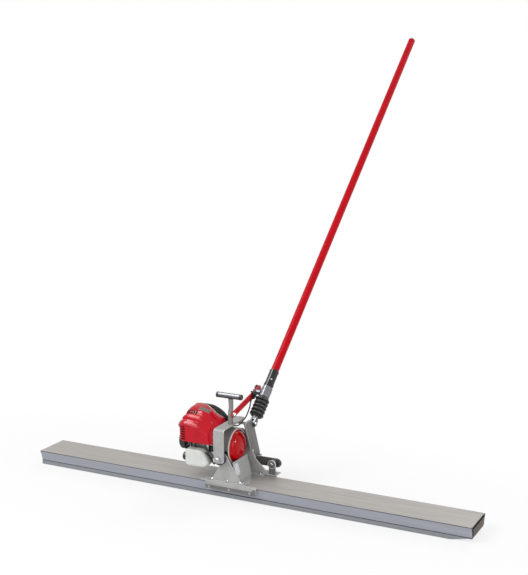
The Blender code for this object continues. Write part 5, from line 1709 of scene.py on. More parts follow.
@dataclass
class EngineCovers:
    """The red front cover and the black rear cowl, with what is set in them."""

    wall: float = 0.0024
    foot: float = 0.0165
    parting: Tuple[Flat, ...] = (
        (-0.300, 0.022), (-0.205, 0.018), (-0.155, -0.006), (-0.122, -0.010), (-0.094, 0.012)
    )
    brow_drop: float = 0.030
    brow_rise: float = 0.007
    tier_reach: float = 0.060
    tiers: Tuple[Flat, ...] = ((0.099, 0.006), (0.126, 0.010))
    ring_depth: float = 0.017
    ring_bore: float = 0.049
    patch_low: Flat = (-0.200, -0.042)
    patch_high: Flat = (-0.142, -0.018)
    bead_radius: float = 0.0015
    louvres: int = 6
    louvre_pitch: float = 0.0105
    slots: int = 5
    slot_pitch: float = 0.0105
    cover_louvre_size: Size = (0.0230, 0.0056, 0.0040)
    crown_slot_size: Size = (0.0070, 0.0160, 0.0034)
    axis: float = field(init=False)

    def __post_init__(self) -> None:
        """Takes the crankshaft's height from the frame."""
        self.axis = crank_height()

    def build(self) -> None:
        """Makes both covers, the bead between them, the adapter ring and the marks."""
        cover = self.build_shell("engine_cover", 0, RED_COVER)
        settle(cover, BASE, "red_cover", "engine_shroud")
        self.build_cowl()
        self.build_marks(cover)

    def brow_shift(self, x: float) -> float:
        """Finds how far the cover's brow is lifted.

        Args:
            x: a place along the engine.

        Returns:
            The lift, below zero where the brow drops.
        """
        low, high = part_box("engine_shroud")
        share = max(0.0, (x - low.x) / (high.x - low.x))
        return self.brow_rise - self.brow_drop * share ** 1.6

    def parting_at(self, x: float) -> float:
        """Finds the line between the red cover and the black cowl.

        Args:
            x: a place along the engine.

        Returns:
            The line's depth there.
        """
        for before, after in zip(self.parting, self.parting[1:]):
            if x <= after[0]:
                share = max((x - before[0]) / (after[0] - before[0]), 0.0)
                return before[1] + (after[1] - before[1]) * share * share * (3 - 2 * share)
        return self.parting[-1][1]

    def arch(self, x: float, wide: float, tall: float) -> Tuple[Loop, Loop]:
        """Returns one arch of the covers' cage, split at the parting line.

        Args:
            x: the arch's place.
            wide: its share of the full depth.
            tall: its share of the full height.

        Returns:
            The front cover's points from foot to parting, and the cowl's from there to its foot.
        """
        # Depth, height and the share of the brow's drop at each point.
        front = [
            (-0.0840, 0.0165, 0.0), (-0.0852, 0.0350, 0.1), (-0.0862, 0.0620, 0.5),
            (-0.0862, 0.0810, 0.95), (-0.0900, 0.0838, 1.0), (-0.0928, 0.0870, 1.0),
            (-0.0905, 0.0925, 1.0), (-0.0830, 0.0988, 1.0), (-0.0745, 0.1040, 1.0),
            (-0.0712, 0.1062, 1.0), (-0.0722, 0.1105, 1.0), (-0.0712, 0.1190, 0.8),
            (-0.0640, 0.1245, 0.6), (-0.0600, 0.1275, 0.5), (-0.0590, 0.1335, 0.4),
            (-0.0480, 0.1440, 0.2), (-0.0260, 0.1530, 0.05),
        ]
        parting = self.parting_at(x)
        crest = 0.1570 - 2.6 * (parting - 0.012) ** 2
        front += [((parting - 0.026) / 2, 0.1555, 0.0), (parting, crest, 0.0)]
        back = [
            (parting, crest, 0.0), ((parting + 0.042) / 2, 0.1555, 0.0), (0.0420, 0.1515, 0.0),
            (0.0600, 0.1405, 0.0), (0.0780, 0.1190, 0.0), (0.0890, 0.0930, 0.0), (0.0935, 0.0600, 0.0),
            (0.0950, 0.0165, 0.0),
        ]
        shift = self.brow_shift(x)
        close = max(0.0, 1 - (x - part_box("engine_shroud")[0].x) / self.tier_reach)
        halves = []
        for points in (front, back):
            half = []
            for y, z, share in points:
                rise = (z + shift * share - self.foot) * tall
                step = close * sum(set_back for level, set_back in self.tiers if z > level)
                half.append(Vector((x + step, y * wide, self.axis + self.foot + rise)))
            halves.append(half)
        return halves[0], halves[1]

    def stations(self) -> List[Tuple[float, float, float]]:
        """Sets out the arches of the covers' cage.

        Returns:
            Their (x, depth share, height share), left to right.
        """
        low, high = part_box("engine_shroud")
        left, right = low.x, high.x
        rows = [(left + inset, share, share) for inset, share in (
            (0.0005, 0.30), (0.0004, 0.55), (0.0002, 0.76), (0.0020, 0.835), (0.0120, 0.925), (0.0260, 0.985),
            (0.0450, 1.0), (0.0780, 1.0), (0.1003, 1.0),
        )]
        rows += [(right - inset, wide, tall) for inset, wide, tall in (
            (0.063, 1.0, 0.966), (0.050, 1.0, 0.920), (0.042, 1.0, 0.884), (0.034, 1.0, 0.842),
            (0.0312, 0.995, 0.826), (0.0285, 0.965, 0.812), (0.0265, 0.925, 0.802),
            (0.0150, 0.912, 0.740), (0.0050, 0.905, 0.665), (0.0010, 0.885, 0.625),
            (0.0002, 0.700, 0.480), (0.0003, 0.350, 0.250),
        )]
        return rows

    def build_shell(self, name: str, side: int, finish: Finish) -> bpy.types.Object:
        """Makes one half of the engine's domed cover.

        Args:
            name: the object's name.
            side: zero for the front cover, one for the rear cowl.
            finish: its finish.

        Returns:
            The object, a plain mesh.
        """
        rows = [self.arch(*station)[side] for station in self.stations()]
        shape = Shape()
        grid = [[shape.work.verts.new(point) for point in row] for row in rows]
        for row, after in zip(grid, grid[1:]):
            for i in range(len(row) - 1):
                shape.work.faces.new((row[i], after[i], after[i + 1], row[i + 1]))
        for row in (grid[0], grid[-1]):
            parting = row[-1 if side == 0 else 0].co
            corner = shape.work.verts.new((parting.x, parting.y, self.axis + self.foot))
            shape.work.faces.new(row + [corner])
        obj = shape.to_object(name, finish, crease=80)
        core = Vector((-0.19, 0, self.axis + 0.05))
        if sum(face.normal.dot(face.center - core) for face in obj.data.polygons) < 0:
            obj.data.flip_normals()
        soft = obj.modifiers.new("soft", "SUBSURF")
        soft.levels = 2
        soft.render_levels = 2
        shell = obj.modifiers.new("shell", "SOLIDIFY")
        shell.thickness = self.wall
        shell.offset = -1.0
        bake(obj)
        shade(obj, 60)
        return obj

    def build_cowl(self) -> None:
        """Makes the black rear cowl, the pale bead on its parting line and the adapter ring."""
        obj = self.build_shell("rear_cowl", 1, COWL_NYLON)
        settle(obj, BASE, "black_plastic", "fan_case")
        edge = [self.arch(*station)[1][0] for station in self.stations()[3:-2]]
        # The subdivided edge runs where this smoothed line runs.
        line = []
        for before, here, after in zip(edge, edge[1:], edge[2:]):
            line.append((before + here * 4 + after) / 6 + Vector((0, 0, 0.0004)))
        # The bead's pale alloy is partly a painted highlight along the parting line.
        Shape().tube(smooth_path(line, 3), self.bead_radius, 10).piece("cover_bead", finish=DIE_CAST)
        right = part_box("fan_case")[1].x
        bore = self.ring_bore
        depth = self.ring_depth
        profile = [(bore, 0), (bore + 0.012, 0), (bore + 0.013, 0.001)]
        profile += [(bore + 0.013, depth - 0.001), (bore + 0.012, depth), (bore, depth)]
        shape = Shape().turned(profile, Vector((right, 0, self.axis)), -X_AXIS, 72)
        shape.piece("adapter_ring", finish=BLACK_NYLON)

    def towards_axis(self, point: Vector) -> Vector:
        """Returns the direction from a point square to the crankshaft's axis."""
        return Vector((0, -point.y, self.axis - point.z))

    def build_marks(self, cover: bpy.types.Object) -> None:
        """Sets the louvres, the slots and the grey insert on the red cover.

        Args:
            cover: the red cover.
        """
        skin = skin_of(cover)
        # The louvres and slots are black bars standing for the shade inside their openings: painted shade.
        places = []
        for k in range(self.louvres):
            point = Vector((-0.247, -0.082, self.axis + 0.0255 + self.louvre_pitch * k))
            place, normal = seat(skin, point, Vector((0.5, 1, 0)))
            run = Z_AXIS.cross(normal).normalized()
            places.append(Place(place - normal * 0.0012, normal, run))
        set_out("cover_louvres", Repeat.BAR, places, self.cover_louvre_size, COWL_NYLON)
        places = []
        for k in range(self.slots):
            point = Vector((-0.238 + self.slot_pitch * k, -0.052, self.axis + 0.134))
            place, normal = seat(skin, point, self.towards_axis(point))
            places.append(Place(place - normal * 0.0010, normal, X_AXIS))
        set_out("crown_slots", Repeat.BAR, places, self.crown_slot_size, COWL_NYLON)
        shape = Shape()
        rows = []
        low, high = self.patch_low, self.patch_high
        steps = 10
        for i in range(steps + 1):
            row = []
            for j in range(steps + 1):
                x = low[0] + (high[0] - low[0]) * i / steps
                y = low[1] + (high[1] - low[1]) * j / steps
                lift = -0.0010 if i in (0, steps) or j in (0, steps) else 0.0009
                place, normal = seat(skin, Vector((x, y, self.axis + 0.14)), -Z_AXIS)
                row.append(shape.work.verts.new(place + normal * lift))
            rows.append(row)
        for row, after in zip(rows, rows[1:]):
            for j in range(steps):
                shape.work.faces.new((row[j], after[j], after[j + 1], row[j + 1]))
        shape.piece("crown_patch", finish=CROWN_PLASTIC)

@dataclass
class CrankCase:
    """The die-cast crankcase, with its ribs and bolts, and black blocks of painted shade under the cover."""

    half_depth: float = 0.034
    corner: float = 0.013
    ribs: Tuple[float, ...] = (-0.232, -0.214, -0.170, -0.152)
    rib_half: float = 0.0016
    bolts: Tuple[Flat, ...] = ((-0.238, 0.018), (-0.192, 0.019), (-0.160, -0.010), (-0.142, 0.016))
    crankcase_bolt_size: Size = (0.0085, 0.0085, 0.005)

    def build(self) -> None:
        """Makes the die-cast crankcase with its flange and bolts."""
        low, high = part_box("crankcase")
        axis = crank_height()
        bell = (high.y - low.y) / 2
        half = self.half_depth
        loops = []
        for x, reach, foot, top in (
            (low.x, half - 0.002, -0.051, 0.029), (low.x + 0.002, half, -0.053, 0.031),
            (high.x - 0.026, half, -0.053, 0.031), (high.x - 0.021, bell, -bell, bell),
            (high.x - 0.001, bell, -bell, bell), (high.x, bell - 0.001, -bell + 0.001, bell - 0.001),
        ):
            corners = rectangle((-reach, axis + foot), (reach, axis + top))
            loops.append([Plane.YZ.point(y, z, x) for y, z in eased(corners, self.corner, 6)])
        shape = Shape().skin(loops)
        # Upright ribs stiffen the case's front between the tank and the cover.
        for x in self.ribs:
            near = Vector((x - self.rib_half, -half - 0.0035, axis - 0.014))
            far = Vector((x + self.rib_half, -half + 0.004, axis + 0.024))
            shape.block(near, far, 0.0008, 0.0005)
        shape.piece("crankcase_casting", "crankcase", finish=DIE_CAST, edge=DIE_CAST)
        face = -half - 0.0002
        places = [Place(Vector((x, face, axis + rise)), -Y_AXIS, X_AXIS) for x, rise in self.bolts]
        set_out("crankcase_bolts", Repeat.HEX_BOLT, places, self.crankcase_bolt_size, ZINC_PLATE)
        # Black blocks under the cover's front edge stand for the shade there: painted shade.
        shape = Shape()
        shape.block(Vector((-0.196, -0.062, axis + 0.004)), Vector((-0.184, -0.040, axis + 0.024)), 0.002)
        shape.block(Vector((-0.262, -0.066, axis - 0.016)), Vector((-0.250, -0.036, axis + 0.022)), 0.003)
        shape.piece("shade_blocks_under_cover", finish=BLACK_NYLON, edge=BLACK_NYLON)


@dataclass
class FuelTank:
    """The white tank and its cap."""

    trim: float = 0.006
    corner: float = 0.016
    front_ease: float = 0.0105
    seam_height: float = 0.0012
    knurls: int = 20
    tank_cap_knurl_size: Size = (0.0088, 0.0022, 0.0016)

    def build(self) -> None:
        """Makes the white tank with its seam, and the knurled cap."""
        low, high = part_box("fuel_tank")
        left, right = low.x, high.x
        low.z += self.trim
        outline = [
            (left, low.z), (right - 0.024, low.z), (right, low.z + 0.023), (right - 0.036, high.z),
            (left, high.z),
        ]
        # The corners are rounder than the front's ease, so no loop crosses itself.
        outline = eased(outline, self.corner, 6)
        loops = [(inset, low.y + depth) for inset, depth in rounding(self.front_ease, 6)]
        seam = (low.y + high.y) / 2 + 0.004
        loops += [(0.0, seam - 0.0016), (-self.seam_height, seam - 0.0012)]
        loops += [(-self.seam_height, seam + 0.0012), (0.0, seam + 0.0016)]
        loops += [(0.0, high.y - 0.004), (0.001, high.y - 0.001), (0.003, high.y)]
        skins = []
        for inset, y in loops:
            skins.append([Plane.XZ.point(x, z, y) for x, z in drawn_in(outline, inset)])
        Shape().skin(skins).piece("tank_moulding", "fuel_tank", finish=TANK_PLASTIC, crease=45)
        first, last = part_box("fuel_cap")
        pivot = joint_point("cap_turn")
        cap = Vector((pivot.x - 0.0003, pivot.y, pivot.z))
        radius = (last.z - first.z) / 2
        profile = [(0, -0.006), (0.0105, -0.006), (0.0105, 0.0), (radius - 0.0012, 0.0)]
        profile += [(radius - 0.0006, 0.001), (radius - 0.0006, 0.0105)]
        profile += flipped(arc((0.0105, radius - 0.0040), 0.0034, 90, 10, 5))
        profile += [(radius - 0.006, 0.0125), (0, 0.0125)]
        shape = Shape().turned(profile, cap, -X_AXIS, 48)
        shape.piece("tank_cap_body", "fuel_cap", body="tank_cap", finish=BLACK_NYLON)
        places = []
        for angle in circle(self.knurls):
            out = Vector((0, math.cos(angle), math.sin(angle)))
            places.append(Place(cap - X_AXIS * 0.0056 + out * (radius - 0.0004), out, X_AXIS))
        set_out("tank_cap_knurl", Repeat.BAR, places, self.tank_cap_knurl_size, BLACK_NYLON, body="tank_cap")


@dataclass
class Starter:
    """The rope starter with its grip and rope."""

    wall: float = 0.003
    set_in: float = 0.010
    guide_reach: float = 0.013
    guide_bore: float = 0.0031
    guide_radius: float = 0.0072
    ribs: int = 12
    rope_radius: float = 0.0022
    rope_steps: int = 24

    def build(self) -> None:
        """Makes the rope starter's housing, slots, grip and rope."""
        low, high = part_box("starter_housing")
        axis = joint_point("crank_spin")
        origin = Vector((high.x, 0, axis.z))
        depth = high.x - low.x
        radius = axis.z - low.z
        inner = radius - self.wall
        profile = [(inner, 0.0), (radius, 0.0), (radius, depth - 0.007)]
        profile += flipped(arc((depth - 0.006, radius - 0.006), 0.006, 90, 15, 6))
        profile += [(radius * 0.42, depth), (radius * 0.40, depth - 0.002)]
        profile += [(radius * 0.12, depth - 0.002), (0, depth - 0.002)]
        profile += [(0, depth - 0.004), (radius - 0.010, depth - 0.004), (inner, depth - 0.010)]
        shape = Shape().turned(profile, origin, -X_AXIS, 72)
        pull = joint_axis("starter_pull")
        middle = origin - X_AXIS * self.set_in
        guide = radius + self.guide_reach
        bore, round_it = self.guide_bore, self.guide_radius
        neck = [(bore, radius - 0.004), (round_it, radius - 0.004), (round_it, guide - 0.002)]
        neck += [(round_it - 0.0006, guide - 0.0003), (bore, guide - 0.0003)]
        shape.turned(neck, middle, pull, 24)
        shape.piece("starter_cover", "starter_housing", finish=BLACK_NYLON)
        places = []
        for angle in circle(self.ribs):
            out = Vector((0, math.cos(angle), math.sin(angle)))
            places.append(Place(origin - X_AXIS * (depth - 0.0002) + out * radius * 0.62, -X_AXIS, out))
        set_out("starter_ribs", Repeat.BAR, places, (radius * 0.34, 0.0034, 0.0024), DARK_PLASTIC)
        across = pull.cross(X_AXIS).normalized()
        loops = []
        for along, wide, deep in (
            (0.0, 0.0045, 0.0045), (0.001, 0.0058, 0.0056), (0.012, 0.0066, 0.0060),
            (0.017, 0.0110, 0.0070), (0.021, 0.0172, 0.0080), (0.026, 0.0180, 0.0082),
            (0.031, 0.0168, 0.0072), (0.0337, 0.0130, 0.0045),
        ):
            loop = []
            for angle in circle(32):
                reach = across * (wide * math.cos(angle)) + X_AXIS * (deep * math.sin(angle))
                loop.append(middle + pull * (guide + 0.0003 + along) + reach)
            loops.append(loop)
        shape = Shape().skin(loops)
        ridden = {"body": "starter_handle", "finish": BLACK_RUBBER}
        shape.piece("starter_handle_moulding", "starter_grip", crease=50, **ridden)
        start = middle + pull * (radius - 0.012)
        end = middle + pull * (guide + 0.006)
        path = [start.lerp(end, k / self.rope_steps) for k in range(self.rope_steps + 1)]
        rope = Shape().tube(path, self.rope_radius, 12).to_object("starter_rope", BLACK_RUBBER)
        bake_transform(rope)
        LOG.info("%s runs from the housing to the grip", rope.name)


@dataclass
class AirCleaner:
    """The air cleaner and the choke lever beside it."""

    corner: float = 0.0145
    ribs: int = 5
    rib_pitch: float = 0.007
    choke_radius: float = 0.006
    cleaner_rib_size: Size = (0.034, 0.0026, 0.0022)

    def build(self) -> None:
        """Makes the air cleaner's ribbed cover and the choke lever."""
        low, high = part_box("air_cleaner")
        corners = rectangle((low.x, low.z), (high.x, high.z))
        # The corners are rounder than the deepest inset, so no loop crosses itself.
        outline = eased(corners, self.corner, 6)
        depth = high.y - low.y
        loops = []
        for inset, along in (
            (0.0008, 0.0), (0.0, 0.0008), (0.0, 0.010), (0.0014, 0.0108), (0.0014, 0.0128),
            (0.0, 0.0136), (0.0, 0.021), (0.0012, 0.0255), (0.0042, 0.0300), (0.0085, 0.0330),
            (0.0098, depth),
        ):
            loops.append([Plane.XZ.point(x, z, low.y + along) for x, z in drawn_in(outline, inset)])
        Shape().skin(loops).piece("cleaner_cover", "air_cleaner", finish=BLACK_NYLON)
        places = []
        middle = (low + high) / 2
        for k in range(self.ribs):
            spot = Vector((middle.x, high.y - 0.0002, middle.z - 0.014 + self.rib_pitch * k))
            places.append(Place(spot, Y_AXIS, X_AXIS))
        set_out("cleaner_ribs", Repeat.BAR, places, self.cleaner_rib_size, BLACK_NYLON)
        low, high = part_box("choke_lever")
        pivot = joint_point("choke_turn")
        outline = arc((pivot.y, pivot.z), self.choke_radius, 0, -180, 10)
        outline += eased([(pivot.y - 0.0045, high.z), (pivot.y + 0.0045, high.z)], 0.002, 2)
        shape = Shape().plate(outline, Plane.YZ, low.x, high.x, 0.0006)
        shape.piece("choke_arm", "choke_lever", body="choke", finish=BLACK_NYLON, edge=BLACK_NYLON)


@dataclass
class StopSwitch:
    """The stop switch on its leaning bracket."""

    slider_step: float = 0.0025
    slider_inset: float = 0.0022
    rib_pitch: float = 0.0042
    rib_size: Size = (0.0068, 0.0012, 0.0014)

    def build(self) -> None:
        """Makes the leaning bracket and the stop switch that slides on it."""
        low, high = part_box("stop_switch")
        axis = crank_height()
        outline = [
            (low.x - 0.023, axis + 0.006), (high.x + 0.004, axis + 0.006),
            (high.x + 0.006, axis - 0.046), (high.x - 0.019, axis - 0.046),
        ]
        shape = Shape().plate(eased(outline, 0.003), Plane.XZ, high.y + 0.0001, high.y + 0.0022, 0.0006)
        shape.piece("switch_bracket", finish=ZINC_PLATE, edge=ZINC_PLATE)
        near = Vector((low.x - 0.013, high.y + 0.00003, low.z - 0.004))
        far = Vector((high.x - 0.002, high.y + 0.0012, high.z + 0.003))
        Shape().block(near, far, 0.002, 0.0003).piece("switch_plate", finish=COWL_NYLON, edge=COWL_NYLON)
        middle = (low + high) / 2
        corners = rectangle((low.x, low.z), (high.x, high.z))
        shape = Shape().plate(eased(corners, 0.002), Plane.XZ, low.y + self.slider_step, high.y)
        inner = drawn_in(corners, self.slider_inset)
        shape.plate(eased(inner, 0.0015), Plane.XZ, low.y, low.y + 0.003)
        for k in (-1, 0, 1):
            rib = Vector((middle.x - 0.0034, low.y - 0.0003, middle.z + self.rib_pitch * k - 0.0007))
            shape.block(rib, rib + Vector(self.rib_size), 0.0004, 0.0002)
        shape.piece("stop_slider", "stop_switch", body="stop_button", finish=BLACK_NYLON, edge=BLACK_NYLON)


@dataclass
class FuelHoses:
    """The hoses between the tank and the engine."""

    thin: float = 0.0026
    thick: float = 0.0032
    sides: int = 12

    def build(self) -> None:
        """Makes the three short fuel hoses between the tank and the engine."""
        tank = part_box("fuel_tank")[1]
        axis = crank_height()
        shape = Shape()
        for x, back in ((-0.226, -0.030), (-0.205, -0.026)):
            guide = [
                Vector((x, -0.050, tank.z - 0.004)), Vector((x, -0.050, tank.z + 0.008)),
                Vector((x - 0.004, -0.046, axis + 0.004)), Vector((x - 0.006, -0.041, axis + 0.022)),
                Vector((x - 0.006, back - 0.012, axis + 0.040)),
            ]
            shape.tube(smooth_path(guide, 6), self.thin, self.sides)
        right = tank.x
        guide = [
            Vector((right - 0.026, -0.062, tank.z - 0.012)),
            Vector((right - 0.016, -0.066, tank.z - 0.014)),
            Vector((right - 0.004, -0.066, tank.z - 0.026)),
            Vector((right + 0.006, -0.062, tank.z - 0.044)),
            Vector((right + 0.008, -0.050, tank.z - 0.058)),
            Vector((right + 0.004, -0.030, tank.z - 0.050)),
        ]
        shape.tube(smooth_path(guide, 6), self.thick, self.sides)
        shape.piece("fuel_hoses", finish=BLACK_RUBBER)


@dataclass
class Engine:
    """The small four-stroke engine."""

    def build(self) -> None:
        """Makes the visible parts and dresses those inside."""
        parts = (EngineCovers(), CrankCase(), FuelTank(), Starter(), AirCleaner(), StopSwitch(), FuelHoses())
        for part in parts:
            part.build()
        dress(GREY_ENAMEL, "engine_mount_plate")
        dress(DIE_CAST, "engine_cylinder", "carburettor", "flywheel_fan")
        dress(MACHINED_STEEL, "muffler", "crankshaft", "clutch_shoes")
        dress(BLACK_NYLON, "starter_pulley")


def bellows_tree() -> bpy.types.NodeTree:
    """Builds the tree that draws a ribbed boot by rule.

    Returns:
        The tree, with inputs Root, Crest, Ribs, Length, Turn, Place and Material.
    """
    numbers = {name: "Float" for name in ("Root", "Crest", "Ribs", "Length")}
    tree, start = start_tree("bellows_boot", {**numbers, "Turn": "Rotation", "Place": "Vector"})
    given = start.outputs
    unit = {"Vertices": 56, "Side Segments": 96, "Radius": 1.0, "Depth": 1.0}
    barrel = add_node(tree, "GeometryNodeMeshCylinder", unit)
    place = add_node(tree, "GeometryNodeInputPosition").outputs["Position"]
    parts = add_node(tree, "ShaderNodeSeparateXYZ", None, {"Vector": place}).outputs
    along = add_node(tree, "ShaderNodeMath", {"operation": "ADD", 1: 0.5}, {0: parts["Z"]}).outputs["Value"]
    # The ribs are the humps of a sine wave, rounded off at their crests.
    hump = along
    for settings, links in (
        ({"operation": "MULTIPLY"}, {1: given["Ribs"]}),
        ({"operation": "MULTIPLY", 1: math.pi}, {}),
        ({"operation": "SINE"}, {}),
        ({"operation": "ABSOLUTE"}, {}),
        ({"operation": "POWER", 1: 0.7}, {}),
    ):
        hump = add_node(tree, "ShaderNodeMath", settings, {0: hump, **links}).outputs["Value"]
    reach = {"Value": hump, "To Min": given["Root"], "To Max": given["Crest"]}
    radius = add_node(tree, "ShaderNodeMapRange", None, reach).outputs["Result"]
    sizes = {"X": (parts["X"], radius), "Y": (parts["Y"], radius), "Z": (along, given["Length"])}
    moved = {}
    for name, pair in sizes.items():
        links = {0: pair[0], 1: pair[1]}
        moved[name] = add_node(tree, "ShaderNodeMath", {"operation": "MULTIPLY"}, links).outputs["Value"]
    drawn = add_node(tree, "ShaderNodeCombineXYZ", None, moved).outputs["Vector"]
    links = {"Geometry": barrel.outputs["Mesh"], "Position": drawn}
    ribbed = add_node(tree, "GeometryNodeSetPosition", None, links).outputs["Geometry"]
    links = {"Geometry": ribbed, "Translation": given["Place"], "Rotation": given["Turn"]}
    stood = add_node(tree, "GeometryNodeTransform", None, links)
    end_tree(tree, start, stood.outputs["Geometry"])
    return tree


@dataclass
class PoleDrive:
    """The rod end, the bellows, the collar, the sleeve and the long pole."""

    ribs: int = 5
    crest: float = 0.0305
    root: float = 0.0215
    foot: float = 0.034
    head: float = 0.130
    cuff: float = 0.008
    button_hole: float = 0.0055
    fork_half: float = 0.0125
    collar_radius: float = 0.023
    collar_end: float = 0.182
    collar_bore: float = 0.0145
    groove: float = 0.0012
    cuff_bore: float = 0.0144
    lower_cuff: float = 0.0192
    upper_cuff: float = 0.0236
    boss_radius: float = 0.012
    pin_radius: float = 0.006
    pin_head: float = 0.0115
    sleeve_start: float = 0.1828
    sleeve_length: float = 0.086
    sleeve_radius: float = 0.020
    tube_inner: float = 0.016
    tube_outer: float = 0.0175
    button_half: float = 0.0058

    def on_pole(self, along: float) -> Vector:
        """Returns the point on the pole's axis at a distance from the rod end's pin."""
        return joint_point("pole_turn") + joint_axis("pole_turn") * along

    def build(self) -> None:
        """Makes every piece along the pole."""
        self.build_rod_end()
        self.build_bellows()
        self.build_collar()
        self.build_pole()

    def build_rod_end(self) -> None:
        """Makes the chromed fork with its neck and lock nut."""
        axis = joint_axis("pole_turn")
        lift = X_AXIS.cross(axis).normalized()
        half = self.fork_half
        outline = arc((0, 0), half, 90, 270, 12) + [(0.0205, -half)]
        outline += [(0.0235, -half + 0.003), (0.0235, half - 0.003), (0.0205, half)]
        shape = Shape()
        for inner, outer in ((-0.0125, -0.0045), (0.0045, 0.0125)):
            loops = []
            for inset, x in ((0.0008, inner), (0.0, inner + 0.0008), (0.0, outer - 0.0008), (0.0008, outer)):
                loops.append([self.on_pole(u) + lift * v + X_AXIS * x for u, v in drawn_in(outline, inset)])
            shape.skin(loops)
        bridge = [(0.0168, -half), (0.0235, -half), (0.0235, half), (0.0168, half)]
        loops = []
        for x in (-0.0120, 0.0120):
            loops.append([self.on_pole(u) + lift * v + X_AXIS * x for u, v in drawn_in(bridge, 0.0004)])
        shape.skin(loops)
        profile = [(0, 0.0225), (0.0138, 0.0225), (0.0138, 0.036), (0.008, 0.038), (0.008, 0.190), (0, 0.190)]
        shape.turned(profile, self.on_pole(0), axis, 40)
        shape.piece("fork_end", "rod_end", body="spindle", finish=CHROME_PLATE)

    def build_bellows(self) -> None:
        """Makes the ribbed rubber boot and its two cuffs."""
        axis = joint_axis("pole_turn")
        obj = add_object("bellows_boot", bpy.data.meshes.new("bellows_boot"))
        start = self.foot + self.cuff * 0.5
        end = self.head - self.cuff * 0.5
        values = {
            "Root": self.root,
            "Crest": self.crest,
            "Ribs": float(self.ribs),
            "Length": end - start,
            "Turn": axis.to_track_quat("Z", "Y").to_euler(),
            "Place": self.on_pole(start),
            "Material": BLACK_RUBBER.material(),
        }
        run_tree(obj, bellows_tree(), values)
        shade(obj, 70)
        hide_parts("bellows")
        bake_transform(obj)
        LOG.info("%s bends between the rod end and the collar", obj.name)
        for name, place, radius, body in (
            ("bellows_cuff_lower", self.foot, self.lower_cuff, "spindle"),
            ("bellows_cuff_upper", self.head - self.cuff, self.upper_cuff, "slide_collar"),
        ):
            bore, shoulder, groove = self.cuff_bore, radius - 0.0008, radius - 0.001
            profile = [(bore, 0), (shoulder, 0), (radius, 0.0008), (radius, 0.0025), (groove, 0.0032)]
            profile += [(groove, 0.0048), (radius, 0.0055), (radius, self.cuff - 0.0008)]
            profile += [(shoulder, self.cuff), (bore, self.cuff)]
            Shape().turned(profile, self.on_pole(place), axis, 48).piece(name, body=body, finish=BLACK_RUBBER)

    def build_collar(self) -> None:
        """Makes the collar with its ring grooves and the trunnion for the link arm."""
        axis = joint_axis("pole_turn")
        radius, bore, sunk = self.collar_radius, self.collar_bore, self.groove
        start = self.head + 0.0003
        length = self.collar_end - start
        profile = [(bore, 0.0), (radius - sunk, 0.0), (radius, sunk)]
        for place in (0.014, 0.030):
            profile += [(radius, place), (radius - sunk, place + 0.0008)]
            profile += [(radius - sunk, place + 0.0024), (radius, place + 0.0032)]
        profile += [(radius, length - sunk), (radius - sunk, length), (bore, length)]
        shape = Shape().turned(profile, self.on_pole(start), axis, 64)
        pin = collar_pin()
        origin = Vector((-0.018, pin.y, pin.z))
        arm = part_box("link_arm")
        boss = origin.x - arm[1].x - 0.0006
        tip = origin.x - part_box("collar")[0].x
        root, shank, head = self.boss_radius, self.pin_radius, self.pin_head
        profile = [(0, 0), (root, 0), (root, boss - 0.001), (root - 0.001, boss), (shank, boss)]
        profile += [(shank, tip - 0.005), (head - 0.001, tip - 0.005), (head, tip - 0.004)]
        profile += [(head, tip - 0.001), (head - 0.001, tip), (0, tip)]
        shape.turned(profile, origin, -X_AXIS, 40)
        shape.piece("thrust_collar", "collar", body="slide_collar", finish=COLLAR_CAST)

    def build_pole(self) -> None:
        """Makes the sleeve, the long tube, its plug and the snap button."""
        axis = joint_axis("pole_turn")
        start = self.sleeve_start
        length = self.sleeve_length
        radius = self.sleeve_radius
        tail, ridge, mouth, bore, thread = -0.030, radius + 0.0014, radius + 0.0008, 0.0178, 0.0083
        profile = [(0.0140, tail), (0.0140, 0.0), (radius - 0.001, 0.0), (radius, 0.001), (radius, 0.010)]
        profile += [(ridge, 0.011), (ridge, 0.016), (radius, 0.017)]
        profile += [(radius, length - 0.006), (mouth, length - 0.005), (mouth, length - 0.001)]
        profile += [(radius, length), (bore, length), (bore, 0.018), (thread, 0.018), (thread, tail)]
        shape = Shape().turned(profile, self.on_pole(start), axis, 64)
        shape.piece("sleeve_moulding", "pole_sleeve", body="pole", finish=SLEEVE_NYLON)
        inner, outer = self.tube_inner, self.tube_outer
        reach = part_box("pole_tube")[1] - joint_point("pole_turn")
        end = (reach.y - outer * axis.z) / axis.y
        first = start + 0.0183
        low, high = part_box("snap_button")
        aim = -joint_axis("button_press")
        spot = (low + high) / 2
        hole = (spot - self.on_pole(0)).dot(axis)
        reach = self.button_hole
        profile = [(inner, first), (outer, first), (outer, hole - reach), (outer, hole + reach), (outer, end)]
        profile += [(inner, end), (inner, hole + reach), (inner, hole - reach)]
        obj = Shape().turned(profile, self.on_pole(0), axis, 72).to_object("pole_shaft", RED_TUBE)
        pierce(obj, spot, aim, reach)
        settle(obj, "pole", "red_tube", "pole_tube")
        stem = inner - 0.0004
        profile = [(0, -0.024), (stem, -0.024), (stem, 0.0003), (outer, 0.0003), (outer, 0.0016)]
        profile += flipped(arc((0.0016, outer - 0.0042), 0.0042, 90, 8, 5))
        profile += [(0, 0.0060)]
        shape = Shape().turned(profile, self.on_pole(end), axis, 56)
        shape.piece("pole_end_plug", "pole_plug", body="pole", finish=BLACK_NYLON)
        half = self.button_half
        profile = [(0, -half), (0.0044, -half), (0.0044, half - 0.002)]
        profile += flipped(arc((half - 0.0024, 0.0020), 0.0024, 90, 8, 4))
        profile += [(0, half)]
        shape = Shape().turned(profile, spot, aim, 32)
        shape.piece("button_pin", "snap_button", body="pole_button", finish=ZINC_PLATE)


